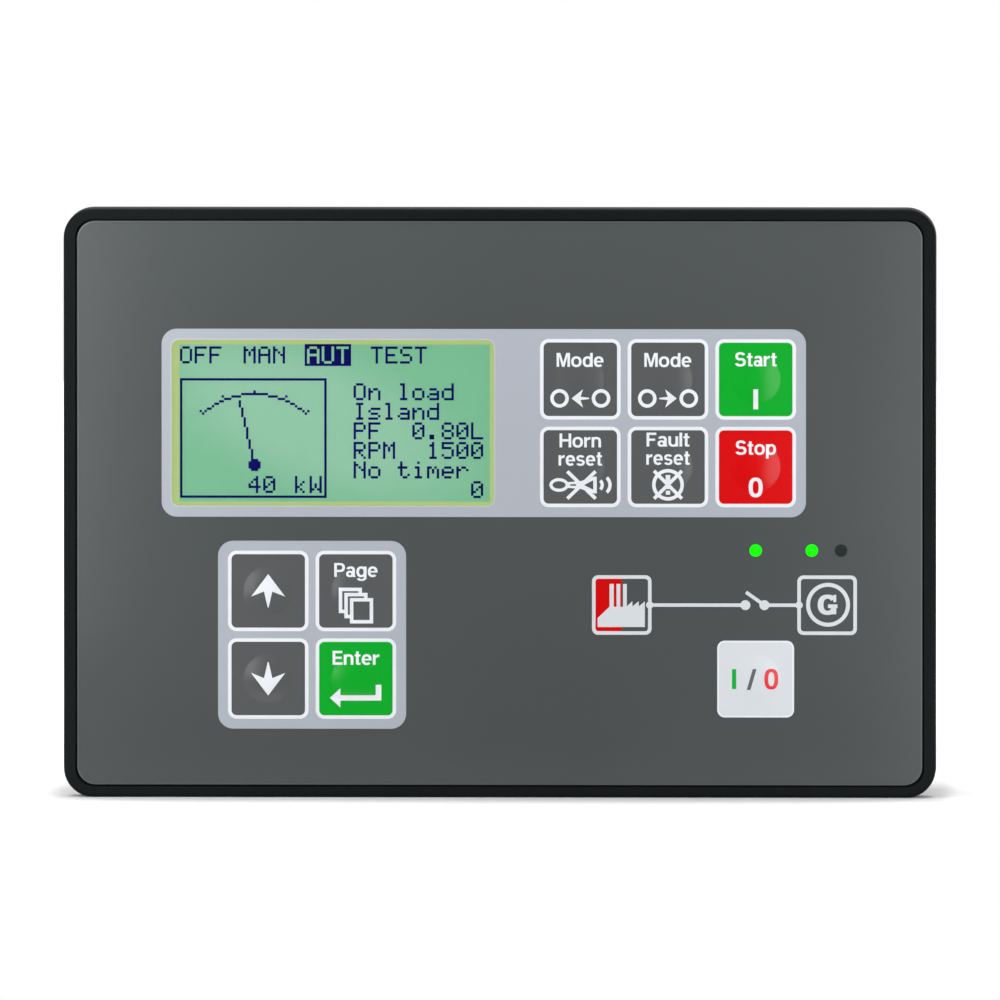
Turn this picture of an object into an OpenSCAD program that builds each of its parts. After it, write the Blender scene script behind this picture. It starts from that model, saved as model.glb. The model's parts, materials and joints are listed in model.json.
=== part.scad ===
// Panel-mounted generator controller: a moulded front housing with a film keypad and a display,
// two circuit boards, a rear cover and plug-in screw terminals.
// The front faces -Y and +Z is up.
// The origin is the centre of the panel cut-out, on the panel's front face.
// All sizes are in millimetres.

/* [Front housing] */
// Width of the bezel
bezel_w = 185; // [170:1:200]
// Height of the bezel
bezel_h = 125; // [115:1:140]
// Thickness of the bezel, from the gasket to the front of its rim
bezel_t = 9.5; // [8.5:0.5:13]
// Corner radius of the bezel
bezel_corner_r = 6.25; // [5:0.25:9]
// Rounding of the bezel's front edge
bezel_edge_r = 0.8; // [0.3:0.1:1.2]
// Width of the raised rim to the left and right of the film
rim_w = 2.5; // [2:0.1:3.2]
// Width of the raised rim above and below the film
rim_h = 2.3; // [2:0.1:3.2]
// Height of the rim above the film
rim_rise = 0.6; // [0.3:0.1:1]
// Thickness of the wall behind the film
face_t = 2.4; // [2:0.1:3.2]
// Thickness of the moulded walls
wall_t = 2.2; // [1.8:0.1:2.6]

/* [Panel cut-out] */
// How far the bezel reaches past the cut-out, on each side
bezel_lap = 5; // [4:0.25:6]
// Gap between the body and the cut-out, on each side
cutout_gap = 0.5; // [0.3:0.1:1]
// Thickness of the gasket
gasket_t = 1.5; // [1:0.1:2.5]
// Distance of the gasket from the bezel's outer edge
gasket_inset = 0.6; // [0.3:0.1:1.5]

/* [Depth] */
// Depth behind the panel
behind_panel = 49; // [46:1:60]
// Length of the front housing's skirt behind the panel
skirt_l = 6; // [4:0.5:9]
// Corner radius of the body behind the panel
body_corner_r = 4; // [3:0.5:6]
// Step from the rear face down to the terminal ledges
ledge_drop = 11.9; // [10:0.1:14]

/* [Overlay film] */
// Thickness of the overlay film
film_t = 0.4; // [0.25:0.05:0.6]
// Gap between the film and the rim
film_gap = 0.25; // [0.15:0.05:0.5]
// Thickness of the printed colour fields
ink_t = 0.08; // [0.06:0.01:0.15]
// Width of the light margin around keys and window
field_margin = 2.1; // [1.5:0.1:3]
// Corner radius of the light fields
field_r = 3.2; // [2:0.1:5]

/* [Keys] */
// Distance between the centres of neighbouring keys
key_pitch = 18.6; // [17:0.1:20]
// Gap between the white lines of neighbouring keys
key_gap = 1.5; // [1:0.1:3]
// Width of the white line around a key
key_line = 0.75; // [0.4:0.05:1]
// Corner radius of a printed key
key_r = 1.1; // [0.5:0.1:2]
// Side of the printed breaker key
breaker_key_size = 16.2; // [14:0.1:17]
// Diameter of the embossed dome
dome_d = 10.2; // [8:0.1:11.5]
// Height of the embossed dome
dome_h = 0.6; // [0.35:0.05:0.9]
// Travel of a key
key_travel = 0.4; // [0.2:0.05:0.6]
// Centre of the four navigation keys, across
nav_keys_x = -39.8; // [-42:0.2:-36]
// Centre of the four navigation keys, up
nav_keys_z = -28; // [-29:0.2:-26]
// Centre of the six control keys, across
control_keys_x = 35.7; // [34:0.1:38]
// Centre of the six control keys, up
control_keys_z = 17; // [15:0.1:19]

/* [Display] */
// Width of the display window
window_w = 68.4; // [62:0.2:70]
// Height of the display window
window_h = 35.2; // [32:0.2:38]
// Centre of the display window, across
window_x = -35.4; // [-36:0.1:-34]
// Corner radius of the display window
window_r = 1.6; // [0.8:0.1:2.4]
// Thickness of the clear window
lens_t = 1.4; // [1:0.1:1.6]
// How far the clear window reaches under the film
lens_lap = 1.8; // [1.2:0.1:2.2]
// Sheet thickness of the display's metal frame
frame_t = 0.6; // [0.4:0.1:1]
// Thickness of the display glass
glass_t = 2.2; // [1.6:0.1:3]

/* [Status lights] */
// Diameter of a status light
light_d = 2.7; // [2:0.1:3.5]
// Height of the status lights
lights_z = -10; // [-11:0.1:-9]
// Place of the running light, across
running_light_x = 66.2; // [64:0.1:68]
// Place of the alarm light, across
alarm_light_x = 72.4; // [71.5:0.1:73]

/* [Boards] */
// Thickness of the circuit boards
board_t = 1.6; // [1:0.2:2]
// Distance from the face wall to the key board
key_board_gap = 9.1; // [8.5:0.1:11]
// Side of a key switch
switch_size = 6.2; // [6:0.1:7]
// Height of a key switch
switch_h = 3.6; // [3:0.1:4.3]
// Diameter of a key's stem
stem_d = 3.4; // [3:0.1:3.8]

/* [Terminals] */
// Distance between terminals
terminal_pitch = 5.08; // [5:0.08:5.08]
// Height of the terminal headers above the main board
header_h = 11.5; // [11:0.1:13]
// Distance of a terminal row from the body's top or bottom
terminal_inset = 12.5; // [12:0.1:13.5]
// Count of terminals on each plug of the upper row
upper_row_count = [8, 6];
// Count of terminals on each plug of the lower row
lower_row_count = [6, 8, 8];

/* [Rear cover] */
// Width of the ledge at each side of the rear cover's raised middle
side_ledge = 9; // [7:0.5:14]
// Width of the ledges that carry the terminals
terminal_ledge = 24; // [22:0.5:26]
// Rounding of the rear cover's edges
cover_edge_r = 1.2; // [0.6:0.1:1.6]
// Width of the plug-in module's opening
hatch_w = 50; // [40:1:60]
// Height of the plug-in module's opening
hatch_h = 34; // [26:1:40]

/* [Hidden] */
$fn = 64;
past = 1;             // how far a cutting shape runs past the face it cuts
fit_gap = 0.15;       // gap between fixed pieces that slip into each other
stem_gap = 0.15;      // gap around a key's stem in its switch
seat_gap = 0.1;       // gap between a key's collar or a hook and its stop
head_gap = 0.12;      // gap between a key's head and the film's dome

// Levels through the depth, from the front backwards
y_rim = -(gasket_t + bezel_t);
y_film = y_rim + rim_rise;
y_floor = y_film + film_t;
y_face = y_floor + face_t;
y_key_board = y_face + key_board_gap;
y_ledge = behind_panel - ledge_drop;
y_main_back = y_ledge - header_h;
y_main_board = y_main_back - board_t;

// Outlines
body_w = bezel_w - 2 * (bezel_lap + cutout_gap);
body_h = bezel_h - 2 * (bezel_lap + cutout_gap);
inner_w = body_w - 2 * wall_t;
inner_h = body_h - 2 * wall_t;
inner_r = body_corner_r - wall_t / 2;
recess_w = bezel_w - 2 * rim_w;
recess_h = bezel_h - 2 * rim_h;
recess_r = bezel_corner_r - rim_w;

// Groove at the foot of the rim, so that the film lies flat up to its edge
relief_w = 0.6;
relief_depth = 0.7;

// Embossed domes: a cap of a sphere with its centre behind the film
dome_r = dome_d / 2;
dome_ball_r = (dome_r * dome_r + dome_h * dome_h) / (2 * dome_h);
y_dome_centre = y_film - dome_h + dome_ball_r;

// Keys: their holes in the face wall and the pieces that move in them
key_hole_inset = 0.1;
key_side_gap = 0.3;
key_collar_lap = 0.8;
key_hole_r = dome_r - key_hole_inset;
key_head_r = key_hole_r - key_side_gap;
key_collar_r = key_hole_r + key_collar_lap;
key_collar_t = 1;
stem_depth = 1.2;
y_switch = y_key_board - switch_h;
switch_boss_wall = 0.7;
switch_boss_r = stem_d / 2 + switch_boss_wall;
switch_boss_h = 0.5;
key_border = key_pitch - key_gap;
key_size = key_border - 2 * key_line;

// Key places: name, across, up
KEYS = [
    ["up", nav_keys_x - key_pitch / 2, nav_keys_z + key_pitch / 2],
    ["page", nav_keys_x + key_pitch / 2, nav_keys_z + key_pitch / 2],
    ["down", nav_keys_x - key_pitch / 2, nav_keys_z - key_pitch / 2],
    ["enter", nav_keys_x + key_pitch / 2, nav_keys_z - key_pitch / 2],
    ["mode_left", control_keys_x - key_pitch, control_keys_z + key_pitch / 2],
    ["mode_right", control_keys_x, control_keys_z + key_pitch / 2],
    ["start", control_keys_x + key_pitch, control_keys_z + key_pitch / 2],
    ["horn_reset", control_keys_x - key_pitch, control_keys_z - key_pitch / 2],
    ["fault_reset", control_keys_x, control_keys_z - key_pitch / 2],
    ["stop", control_keys_x + key_pitch, control_keys_z - key_pitch / 2],
    ["breaker", control_keys_x + key_pitch, nav_keys_z - key_pitch / 2],
];
GREEN_KEYS = ["start", "enter"];
RED_KEYS = ["stop"];
WHITE_KEYS = ["breaker"];

// Status lights: name, across
LIGHTS = [
    ["breaker", control_keys_x + key_pitch],
    ["running", running_light_x],
    ["alarm", alarm_light_x],
];
light_r = light_d / 2;
light_collar_lap = 0.8;
light_collar_r = light_r + light_collar_lap;
light_collar_t = 1.2;
light_gap = 0.05;
led_w = 2;
led_h = 1.25;
led_t = 0.8;

// Light fields of the print
field_h = key_pitch + key_border + 2 * field_margin;
nav_field_w = field_h;
control_field_left = window_x - window_w / 2 - field_margin;
control_field_right = control_keys_x + key_pitch + key_border / 2 + field_margin;
control_field_w = control_field_right - control_field_left;
control_field_x = (control_field_left + control_field_right) / 2;

// Display module
frame_gap = 0.3;
frame_side = 4.8;
frame_top = 5;
frame_view = 2;
y_frame = y_face + frame_gap;
y_glass = y_frame + frame_t;
y_backlight = y_glass + glass_t;
lens_w = window_w + 2 * lens_lap;
lens_h = window_h + 2 * lens_lap;
lens_ledge = 1;

// Case screws and board screws
case_screw_r = 1.5;
case_head_r = 2.8;
case_head_h = 2.2;
case_bite = 8;
case_boss_r = 4;
case_well = 2.6;
case_inset = 3.3;
case_screw_x = inner_w / 2 - case_inset;
case_screw_z = inner_h / 2 - case_inset;
board_screw_r = 1.25;
board_head_r = 2.6;
board_head_h = 1.8;
board_bite = 6;
board_post_r = 3;
screw_gap = 0.05;
tongue_l = 3;
tongue_t = 1.1;
tongue_root = 2;
board_gap = 0.35;
board_w = inner_w - 2 * (fit_gap + tongue_t + board_gap);
board_h = inner_h - 2 * (fit_gap + tongue_t + board_gap);
notch_gap = 1;
front_post_side = 12;
front_post_level = 5;
front_post_x = inner_w / 2 - front_post_side;
front_post_z = inner_h / 2 - front_post_level;

// Terminal plugs and headers, drawn for the upper row and mirrored for the lower one
terminal_row_z = body_h / 2 - terminal_inset;
plug_end = 0.8;
plug_gap = 0.3;
nose_l = 8.4;
nose_half = 3.9;
plug_l = 10.3;
plug_in = 5;
plug_out = 9;
plug_slope_y = 2.2;
plug_slope_z = 3.6;
plug_step_y = 2;
plug_step_z = 2.2;
pole_groove_w = 0.5;
pole_groove_depth = 0.4;
header_wall = 1;
header_floor = 2.2;
pin_side = 1;
pin_tip = 2;
groove_w = 2;
wire_w = 3.4;
wire_h = 3.6;
wire_z = -1.2;
wire_l = 7.6;
wire_lip = 0.45;
wire_lip_depth = 0.7;
clamp_screw_r = 1.8;
clamp_screw_z = 2.6;
clamp_screw_top = 7;
slot_w = 0.6;
slot_depth = 1;
cross_share = 1.2;
row_gap = 4;
y_plug = y_ledge + plug_gap;
clamp_screw_y = 4.8;
y_clamp_screw = y_plug + clamp_screw_y;

function plug_w(n) = n * terminal_pitch + 2 * plug_end;
function header_w(n) = plug_w(n) + 2 * (fit_gap + header_wall);
function row_upto(row, i) = i == 0 ? 0 : row_upto(row, i - 1) + header_w(row[i - 1]) + row_gap;
function row_length(row) = row_upto(row, len(row)) - row_gap;
function row_x(row, i) = row_upto(row, i) + header_w(row[i]) / 2 - row_length(row) / 2;
function terminal_x(n, i) = (i - (n - 1) / 2) * terminal_pitch;

// Terminal blocks: name, count, across, 1 for the upper row and -1 for the lower one
TERMINALS = [
    ["voltage", upper_row_count[0], row_x(upper_row_count, 0), 1],
    ["current", upper_row_count[1], row_x(upper_row_count, 1), 1],
    ["supply", lower_row_count[0], row_x(lower_row_count, 0), -1],
    ["inputs", lower_row_count[1], row_x(lower_row_count, 1), -1],
    ["outputs", lower_row_count[2], row_x(lower_row_count, 2), -1],
];

// Rear cover
plateau_r = 5;
plateau_w = body_w - 2 * side_ledge;
plateau_h = body_h - 2 * terminal_ledge;
post_margin = 1;
rear_post_x = plateau_w / 2 - wall_t - board_post_r - post_margin;
rear_post_z = plateau_h / 2 - wall_t - board_post_r - post_margin;
hatch_x = -38;
hatch_r = 1.5;
vent_x = 38;
vent_w = 1.8;
vent_l = 34;
vent_pitch = 5;
vent_count = 9;
side_vent_w = 2;
side_vent_l = 15;
side_vent_y = 16;
side_vent_pitch = 8;
side_vent_count = 13;
seam = 0.5;
clamp_slot_l = 14;
clamp_slot_w = 3.5;
clamp_slot_y = 13;
clamp_slot_z = 30;
hook_w = 8;
hook_l = 1.6;
hook_t = 1.4;
grip_w = 14;
grip_h = 5;
grip_depth = 0.8;

// Parts on the main board: places across and up, and sizes
processor_x = -20;
processor_z = 8;
processor_w = 14;
processor_t = 1.4;
battery_x = 18;
battery_z = 6;
battery_d = 20;
battery_t = 3.2;
battery_lift = 1;
holder_wall = 1.4;
capacitor_x = 46;
capacitor_d = 8;
capacitor_l = 12;
capacitor_pitch = 12;
capacitor_z = 10;
link_x = 0;
link_z = -22;
link_pins = 12;
link_pitch = 2.54;
link_w = 5;
link_base = 2.5;
link_socket = 8.5;
link_pin = 0.64;
socket_w = 36;
socket_h = 6;
socket_t = 8.5;
socket_slot = 2;

// Stands a drawing up at depth y: its X and Y become X and Z, and its height runs towards the front
module at_y(y) {
    translate([0, y, 0]) rotate([90, 0, 0]) children();
}

// A flat outline given the depth from y0 to y1
module slab(y0, y1) {
    at_y(y1) linear_extrude(y1 - y0) children();
}

// A round bar along the depth
module rod(x, z, r, y0, y1) {
    translate([x, y1, z]) rotate([90, 0, 0]) cylinder(r = r, h = y1 - y0);
}

// A box that is centred across and up, from y0 to y1
module block(x, z, w, h, y0, y1) {
    translate([x - w / 2, y0, z - h / 2]) cube([w, y1 - y0, h]);
}

module rounded_rect(w, h, r) {
    square([w - 2 * r, h], center = true);
    square([w, h - 2 * r], center = true);
    for (x = [-1, 1], y = [-1, 1])
        translate([x * (w / 2 - r), y * (h / 2 - r)]) circle(r = r);
}

// Half of a plate's edge, seen end on: r wide and t thick, with its upper corner rounded by e
module rounded_edge(r, t, e) {
    square([r, t - e]);
    square([r - e, t]);
    translate([r - e, t - e]) circle(r = e);
}

// A rounded plate whose edge follows the outline given, which starts at the corner's axis and is r wide
module edged_plate(w, h, r, t) {
    sides = [[1, 1], [-1, 1], [-1, -1], [1, -1]];
    for (i = [0:3]) {
        translate([sides[i][0] * (w / 2 - r), sides[i][1] * (h / 2 - r), 0])
            rotate(90 * i) rotate_extrude(angle = 90) children();
        rotate(90 * i) translate([(i % 2 == 0 ? w : h) / 2 - r, 0, 0])
            rotate([90, 0, 0]) linear_extrude((i % 2 == 0 ? h : w) - 2 * r, center = true) children();
    }
    translate([-(w / 2 - r), -(h / 2 - r), 0]) cube([w - 2 * r, h - 2 * r, t]);
}

// What repeats at the four corners
module at_corners(x, z) {
    for (sx = [-1, 1], sz = [-1, 1]) translate([sx * x, 0, sz * z]) children();
}

// A cap of the domes' sphere, grown by the amount given, in front of depth y
module dome_cap(k, grow, y) {
    intersection() {
        translate([k[1], y_dome_centre, k[2]]) sphere(r = dome_ball_r + grow);
        rod(k[1], k[2], dome_r + past, y_film - dome_h - past, y);
    }
}

// The keys that a list names
function named_keys(names) = [for (k = KEYS) if (len([for (n = names) if (n == k[0]) n]) > 0) k];

module front_housing() {
    color("#1e2122") {
        difference() {
            union() {
                at_y(-gasket_t)
                    edged_plate(bezel_w, bezel_h, bezel_corner_r, bezel_t)
                        rounded_edge(bezel_corner_r, bezel_t, bezel_edge_r);
                slab(-gasket_t, skirt_l) rounded_rect(body_w, body_h, body_corner_r);
            }
            slab(y_rim - past, y_floor) rounded_rect(recess_w, recess_h, recess_r);
            slab(y_floor - past, y_floor + relief_depth) difference() {
                rounded_rect(recess_w, recess_h, recess_r);
                rounded_rect(recess_w - 2 * relief_w, recess_h - 2 * relief_w, recess_r - relief_w);
            }
            slab(y_face, skirt_l + past) rounded_rect(inner_w, inner_h, inner_r);
            slab(y_floor - past, y_floor + lens_t)
                translate([window_x, control_keys_z])
                    rounded_rect(lens_w + 2 * fit_gap, lens_h + 2 * fit_gap, window_r);
            block(window_x, control_keys_z, lens_w - 2 * lens_ledge, lens_h - 2 * lens_ledge,
                  y_floor, y_face + past);
            for (k = KEYS) rod(k[1], k[2], key_hole_r, y_floor - past, y_face + past);
            for (l = LIGHTS) rod(l[1], lights_z, light_r + light_gap, y_floor - past, y_face + past);
        }
        at_corners(case_screw_x, case_screw_z)
            tube(case_boss_r, case_screw_r + screw_gap, y_face, skirt_l, case_bite + past);
        at_corners(front_post_x, front_post_z)
            tube(board_post_r, board_screw_r + screw_gap, y_face, y_key_board, board_bite + past);
    }
}

// A post from y0 to y1 with a blind hole in its rear end
module tube(r, hole_r, y0, y1, depth) {
    difference() {
        rod(0, 0, r, y0, y1);
        rod(0, 0, hole_r, y1 - depth, y1 + past);
    }
}

// The printed film: one sheet, with a dome pressed into it at each key
module front_overlay() {
    color("#5a5f60") difference() {
        union() {
            slab(y_film, y_floor)
                rounded_rect(recess_w - 2 * film_gap, recess_h - 2 * film_gap, recess_r - film_gap);
            for (k = KEYS) dome_cap(k, 0, y_film + film_t / 2);
        }
        for (k = KEYS) dome_cap(k, -film_t, y_floor + past);
        slab(y_film - past, y_floor + past)
            translate([window_x, control_keys_z]) rounded_rect(window_w, window_h, window_r);
        for (l = LIGHTS) rod(l[1], lights_z, light_r + fit_gap, y_film - past, y_floor + past);
    }
}

// A printed layer on the film's front, from an outline
module ink_layer() {
    slab(y_film - ink_t, y_film) children();
}

// A printed square that follows the dome of its key
module inked_key(k, size) {
    difference() {
        union() {
            ink_layer() translate([k[1], k[2]]) rounded_rect(size, size, key_r);
            dome_cap(k, ink_t, y_film - ink_t / 2);
        }
        translate([k[1], y_dome_centre, k[2]]) sphere(r = dome_ball_r);
    }
}

module ink_light_grey() {
    color("#afb5be") ink_layer() difference() {
        union() {
            translate([control_field_x, control_keys_z]) rounded_rect(control_field_w, field_h, field_r);
            translate([nav_keys_x, nav_keys_z]) rounded_rect(nav_field_w, field_h, field_r);
        }
        translate([window_x, control_keys_z]) rounded_rect(window_w, window_h, window_r);
        for (k = KEYS) translate([k[1], k[2]]) rounded_rect(key_border, key_border, key_r + key_line);
    }
}

module ink_white() {
    color("#e2e6ea") {
        for (k = KEYS) if (k[0] != WHITE_KEYS[0])
            ink_layer() translate([k[1], k[2]]) difference() {
                rounded_rect(key_border, key_border, key_r + key_line);
                rounded_rect(key_size, key_size, key_r);
            }
        for (k = named_keys(WHITE_KEYS)) inked_key(k, breaker_key_size);
    }
}

module ink_green() {
    color("#12ad35") for (k = named_keys(GREEN_KEYS)) inked_key(k, key_size);
}

module ink_red() {
    color("#e40510") for (k = named_keys(RED_KEYS)) inked_key(k, key_size);
}

module display_window() {
    color("#cfe3dc", 0.4) slab(y_floor, y_floor + lens_t)
        translate([window_x, control_keys_z]) rounded_rect(lens_w, lens_h, window_r);
}

module panel_gasket() {
    color("#2b2b2b") slab(-gasket_t, 0) difference() {
        rounded_rect(bezel_w - 2 * gasket_inset, bezel_h - 2 * gasket_inset, bezel_corner_r - gasket_inset);
        rounded_rect(body_w + 2 * fit_gap, body_h + 2 * fit_gap, body_corner_r + fit_gap);
    }
}

// One key: a domed head under the film, a collar behind the wall and a stem into the switch
module key_plunger(k) {
    color("#d8d8d4") {
        intersection() {
            rod(k[1], k[2], key_head_r, y_film - dome_h - past, y_face + seat_gap + key_collar_t);
            translate([k[1], y_dome_centre, k[2]]) sphere(r = dome_ball_r - film_t - head_gap);
        }
        rod(k[1], k[2], key_collar_r, y_face + seat_gap, y_face + seat_gap + key_collar_t);
        rod(k[1], k[2], stem_d / 2, y_face + seat_gap, y_switch + stem_depth);
    }
}

module key_switch(k) {
    color("#2a2c2e") difference() {
        union() {
            block(k[1], k[2], switch_size, switch_size, y_switch, y_key_board);
            rod(k[1], k[2], switch_boss_r, y_switch - switch_boss_h, y_switch + past);
        }
        rod(k[1], k[2], stem_d / 2 + stem_gap, y_switch - switch_boss_h - past,
            y_switch + stem_depth + key_travel + seat_gap);
    }
}

module light_guide(l) {
    color("#e8f2ec", 0.6) {
        rod(l[1], lights_z, light_r, y_film, y_key_board - led_t - fit_gap);
        rod(l[1], lights_z, light_collar_r, y_face, y_face + light_collar_t);
    }
}

module status_leds() {
    color("#f0f0e0") for (l = LIGHTS)
        block(l[1], lights_z, led_w, led_h, y_key_board - led_t, y_key_board);
}

module display_frame() {
    w = window_w + 2 * frame_side;
    h = window_h + 2 * frame_top;
    color("#30343a") difference() {
        block(window_x, control_keys_z, w, h, y_frame, y_key_board);
        block(window_x, control_keys_z, w - 2 * frame_t, h - 2 * frame_t, y_glass, y_key_board + past);
        block(window_x, control_keys_z, window_w + 2 * frame_view, window_h + 2 * frame_view,
              y_frame - past, y_glass + past);
    }
}

// A layer of the display inside its frame
module display_layer(y0, y1) {
    inset = 2 * (frame_t + fit_gap);
    block(window_x, control_keys_z, window_w + 2 * frame_side - inset,
          window_h + 2 * frame_top - inset, y0, y1);
}

module display_glass() {
    color("#8fc7a4") display_layer(y_glass, y_backlight);
}

module display_backlight() {
    color("#bcd088") display_layer(y_backlight, y_key_board);
}

// A circuit board with its four screw holes, notched at its corners around the case screws' bosses
module board(y0, screw_x, screw_z) {
    notch_x = case_screw_x - case_boss_r - notch_gap;
    notch_z = case_screw_z - case_boss_r - notch_gap;
    color("#2f6b45") slab(y0, y0 + board_t) difference() {
        union() {
            square([2 * notch_x, board_h], center = true);
            square([board_w, 2 * notch_z], center = true);
        }
        for (sx = [-1, 1], sz = [-1, 1])
            translate([sx * screw_x, sz * screw_z]) circle(r = board_screw_r + fit_gap);
    }
}

module key_board() {
    board(y_key_board, front_post_x, front_post_z);
}

module main_board() {
    board(y_main_board, rear_post_x, rear_post_z);
}

// Pins and socket that join the two boards
module board_connector() {
    y0 = y_key_board + board_t;
    l = link_pins * link_pitch;
    color("#1b1b1d") {
        block(link_x, link_z, l, link_w, y_main_board - link_base, y_main_board);
        block(link_x, link_z, l, link_w, y0, y0 + link_socket);
        for (i = [0:link_pins - 1], s = [-1, 1])
            block(link_x + (i - (link_pins - 1) / 2) * link_pitch, link_z + s * link_pitch / 2,
                  link_pin, link_pin, y0 + link_socket - past, y_main_board - link_base + past);
    }
}

module processor() {
    color("#202226")
        block(processor_x, processor_z, processor_w, processor_w, y_main_board - processor_t, y_main_board);
}

module filter_capacitors() {
    color("#3a4652") for (i = [-1:1])
        rod(capacitor_x, capacitor_z + i * capacitor_pitch, capacitor_d / 2,
            y_main_board - capacitor_l, y_main_board);
}

module backup_battery() {
    color("#c9ccd0") rod(battery_x, battery_z, battery_d / 2,
                         y_main_board - battery_lift - battery_t, y_main_board - battery_lift);
}

module battery_holder() {
    outer_r = battery_d / 2 + fit_gap + holder_wall;
    color("#26282a") difference() {
        rod(battery_x, battery_z, outer_r, y_main_board - battery_lift - battery_t, y_main_board);
        rod(battery_x, battery_z, battery_d / 2 + fit_gap,
            y_main_board - battery_lift - battery_t - past, y_main_board - battery_lift);
        block(battery_x, battery_z + outer_r, battery_d / 2, outer_r,
              y_main_board - battery_lift - battery_t - past, y_main_board - battery_lift);
    }
}

// Socket for a plug-in module, under the hatch
module module_socket() {
    color("#1b1b1d") difference() {
        block(hatch_x, 0, socket_w, socket_h, y_main_back, y_main_back + socket_t);
        block(hatch_x, 0, socket_w - 2 * socket_slot, socket_slot,
              y_main_back + socket_slot, y_main_back + socket_t + past);
    }
}

// Places a terminal block that is drawn at the origin of its row
module at_terminal(t) {
    mirror([0, 0, t[3] > 0 ? 0 : 1]) translate([t[2], 0, terminal_row_z]) children();
}

module terminal_header(t) {
    n = t[1];
    half = nose_half + fit_gap;
    color("#3d8f52") at_terminal(t) {
        difference() {
            block(0, 0, header_w(n), 2 * (half + header_wall), y_main_back, y_ledge);
            block(0, 0, plug_w(n) + 2 * fit_gap, 2 * half, y_main_back + header_floor, y_ledge + past);
        }
        for (i = [0:n - 1])
            block(terminal_x(n, i), 0, pin_side, pin_side,
                  y_main_back + header_floor / 2, y_ledge - pin_tip);
    }
}

// A plug seen end on, with its rear and outer faces set back by the amount given
function plug_outline(back) = [
    [-nose_l, -nose_half], [0, -nose_half], [0, -plug_in],
    [plug_l - back, -plug_in], [plug_l - back, plug_out - plug_slope_z - back],
    [plug_l - plug_slope_y - back, plug_out - back], [plug_step_y, plug_out - back],
    [0, plug_out - plug_step_z - back], [0, nose_half], [-nose_l, nose_half],
];

// An outline drawn in depth and height, given the width w across
module plug_slice(x, w) {
    translate([x - w / 2, y_plug, 0]) rotate([90, 0, 90]) linear_extrude(w) children();
}

module terminal_plug(t) {
    n = t[1];
    y_back = y_plug + plug_l;
    color("#3fa35a") at_terminal(t) difference() {
        plug_slice(0, plug_w(n)) polygon(plug_outline(0));
        block(0, 0, n * terminal_pitch, groove_w, y_plug - nose_l - past, y_ledge - pin_tip + past / 2);
        for (i = [1:n - 1])
            plug_slice(terminal_x(n, i) - terminal_pitch / 2, pole_groove_w) difference() {
                translate([0, -plug_in - past]) square([plug_l + past, plug_in + plug_out + 2 * past]);
                polygon(plug_outline(pole_groove_depth));
                translate([0, -plug_in - past]) square([plug_step_y, plug_in + plug_out - plug_step_z]);
            }
        for (i = [0:n - 1]) {
            block(terminal_x(n, i), wire_z, wire_w, wire_h, y_back - wire_l, y_back + past);
            block(terminal_x(n, i), wire_z, wire_w + 2 * wire_lip, wire_h + 2 * wire_lip,
                  y_back - wire_lip_depth, y_back + past);
            translate([terminal_x(n, i), y_clamp_screw, clamp_screw_z])
                cylinder(r = clamp_screw_r + fit_gap, h = plug_out);
        }
    }
}

module terminal_screws() {
    color("#b9bcbf") for (t = TERMINALS) at_terminal(t)
        for (i = [0:t[1] - 1]) translate([terminal_x(t[1], i), y_clamp_screw, clamp_screw_z]) difference() {
            cylinder(r = clamp_screw_r, h = clamp_screw_top - clamp_screw_z);
            translate([-slot_w / 2, -clamp_screw_r - past, clamp_screw_top - clamp_screw_z - slot_depth])
                cube([slot_w, 2 * (clamp_screw_r + past), slot_depth + past]);
        }
}

// The rear edge of a plate is rounded, so its outline is turned over
module rear_rounded_edge(r, t, e) {
    translate([0, t]) mirror([0, 1]) rounded_edge(r, t, e);
}

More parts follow.
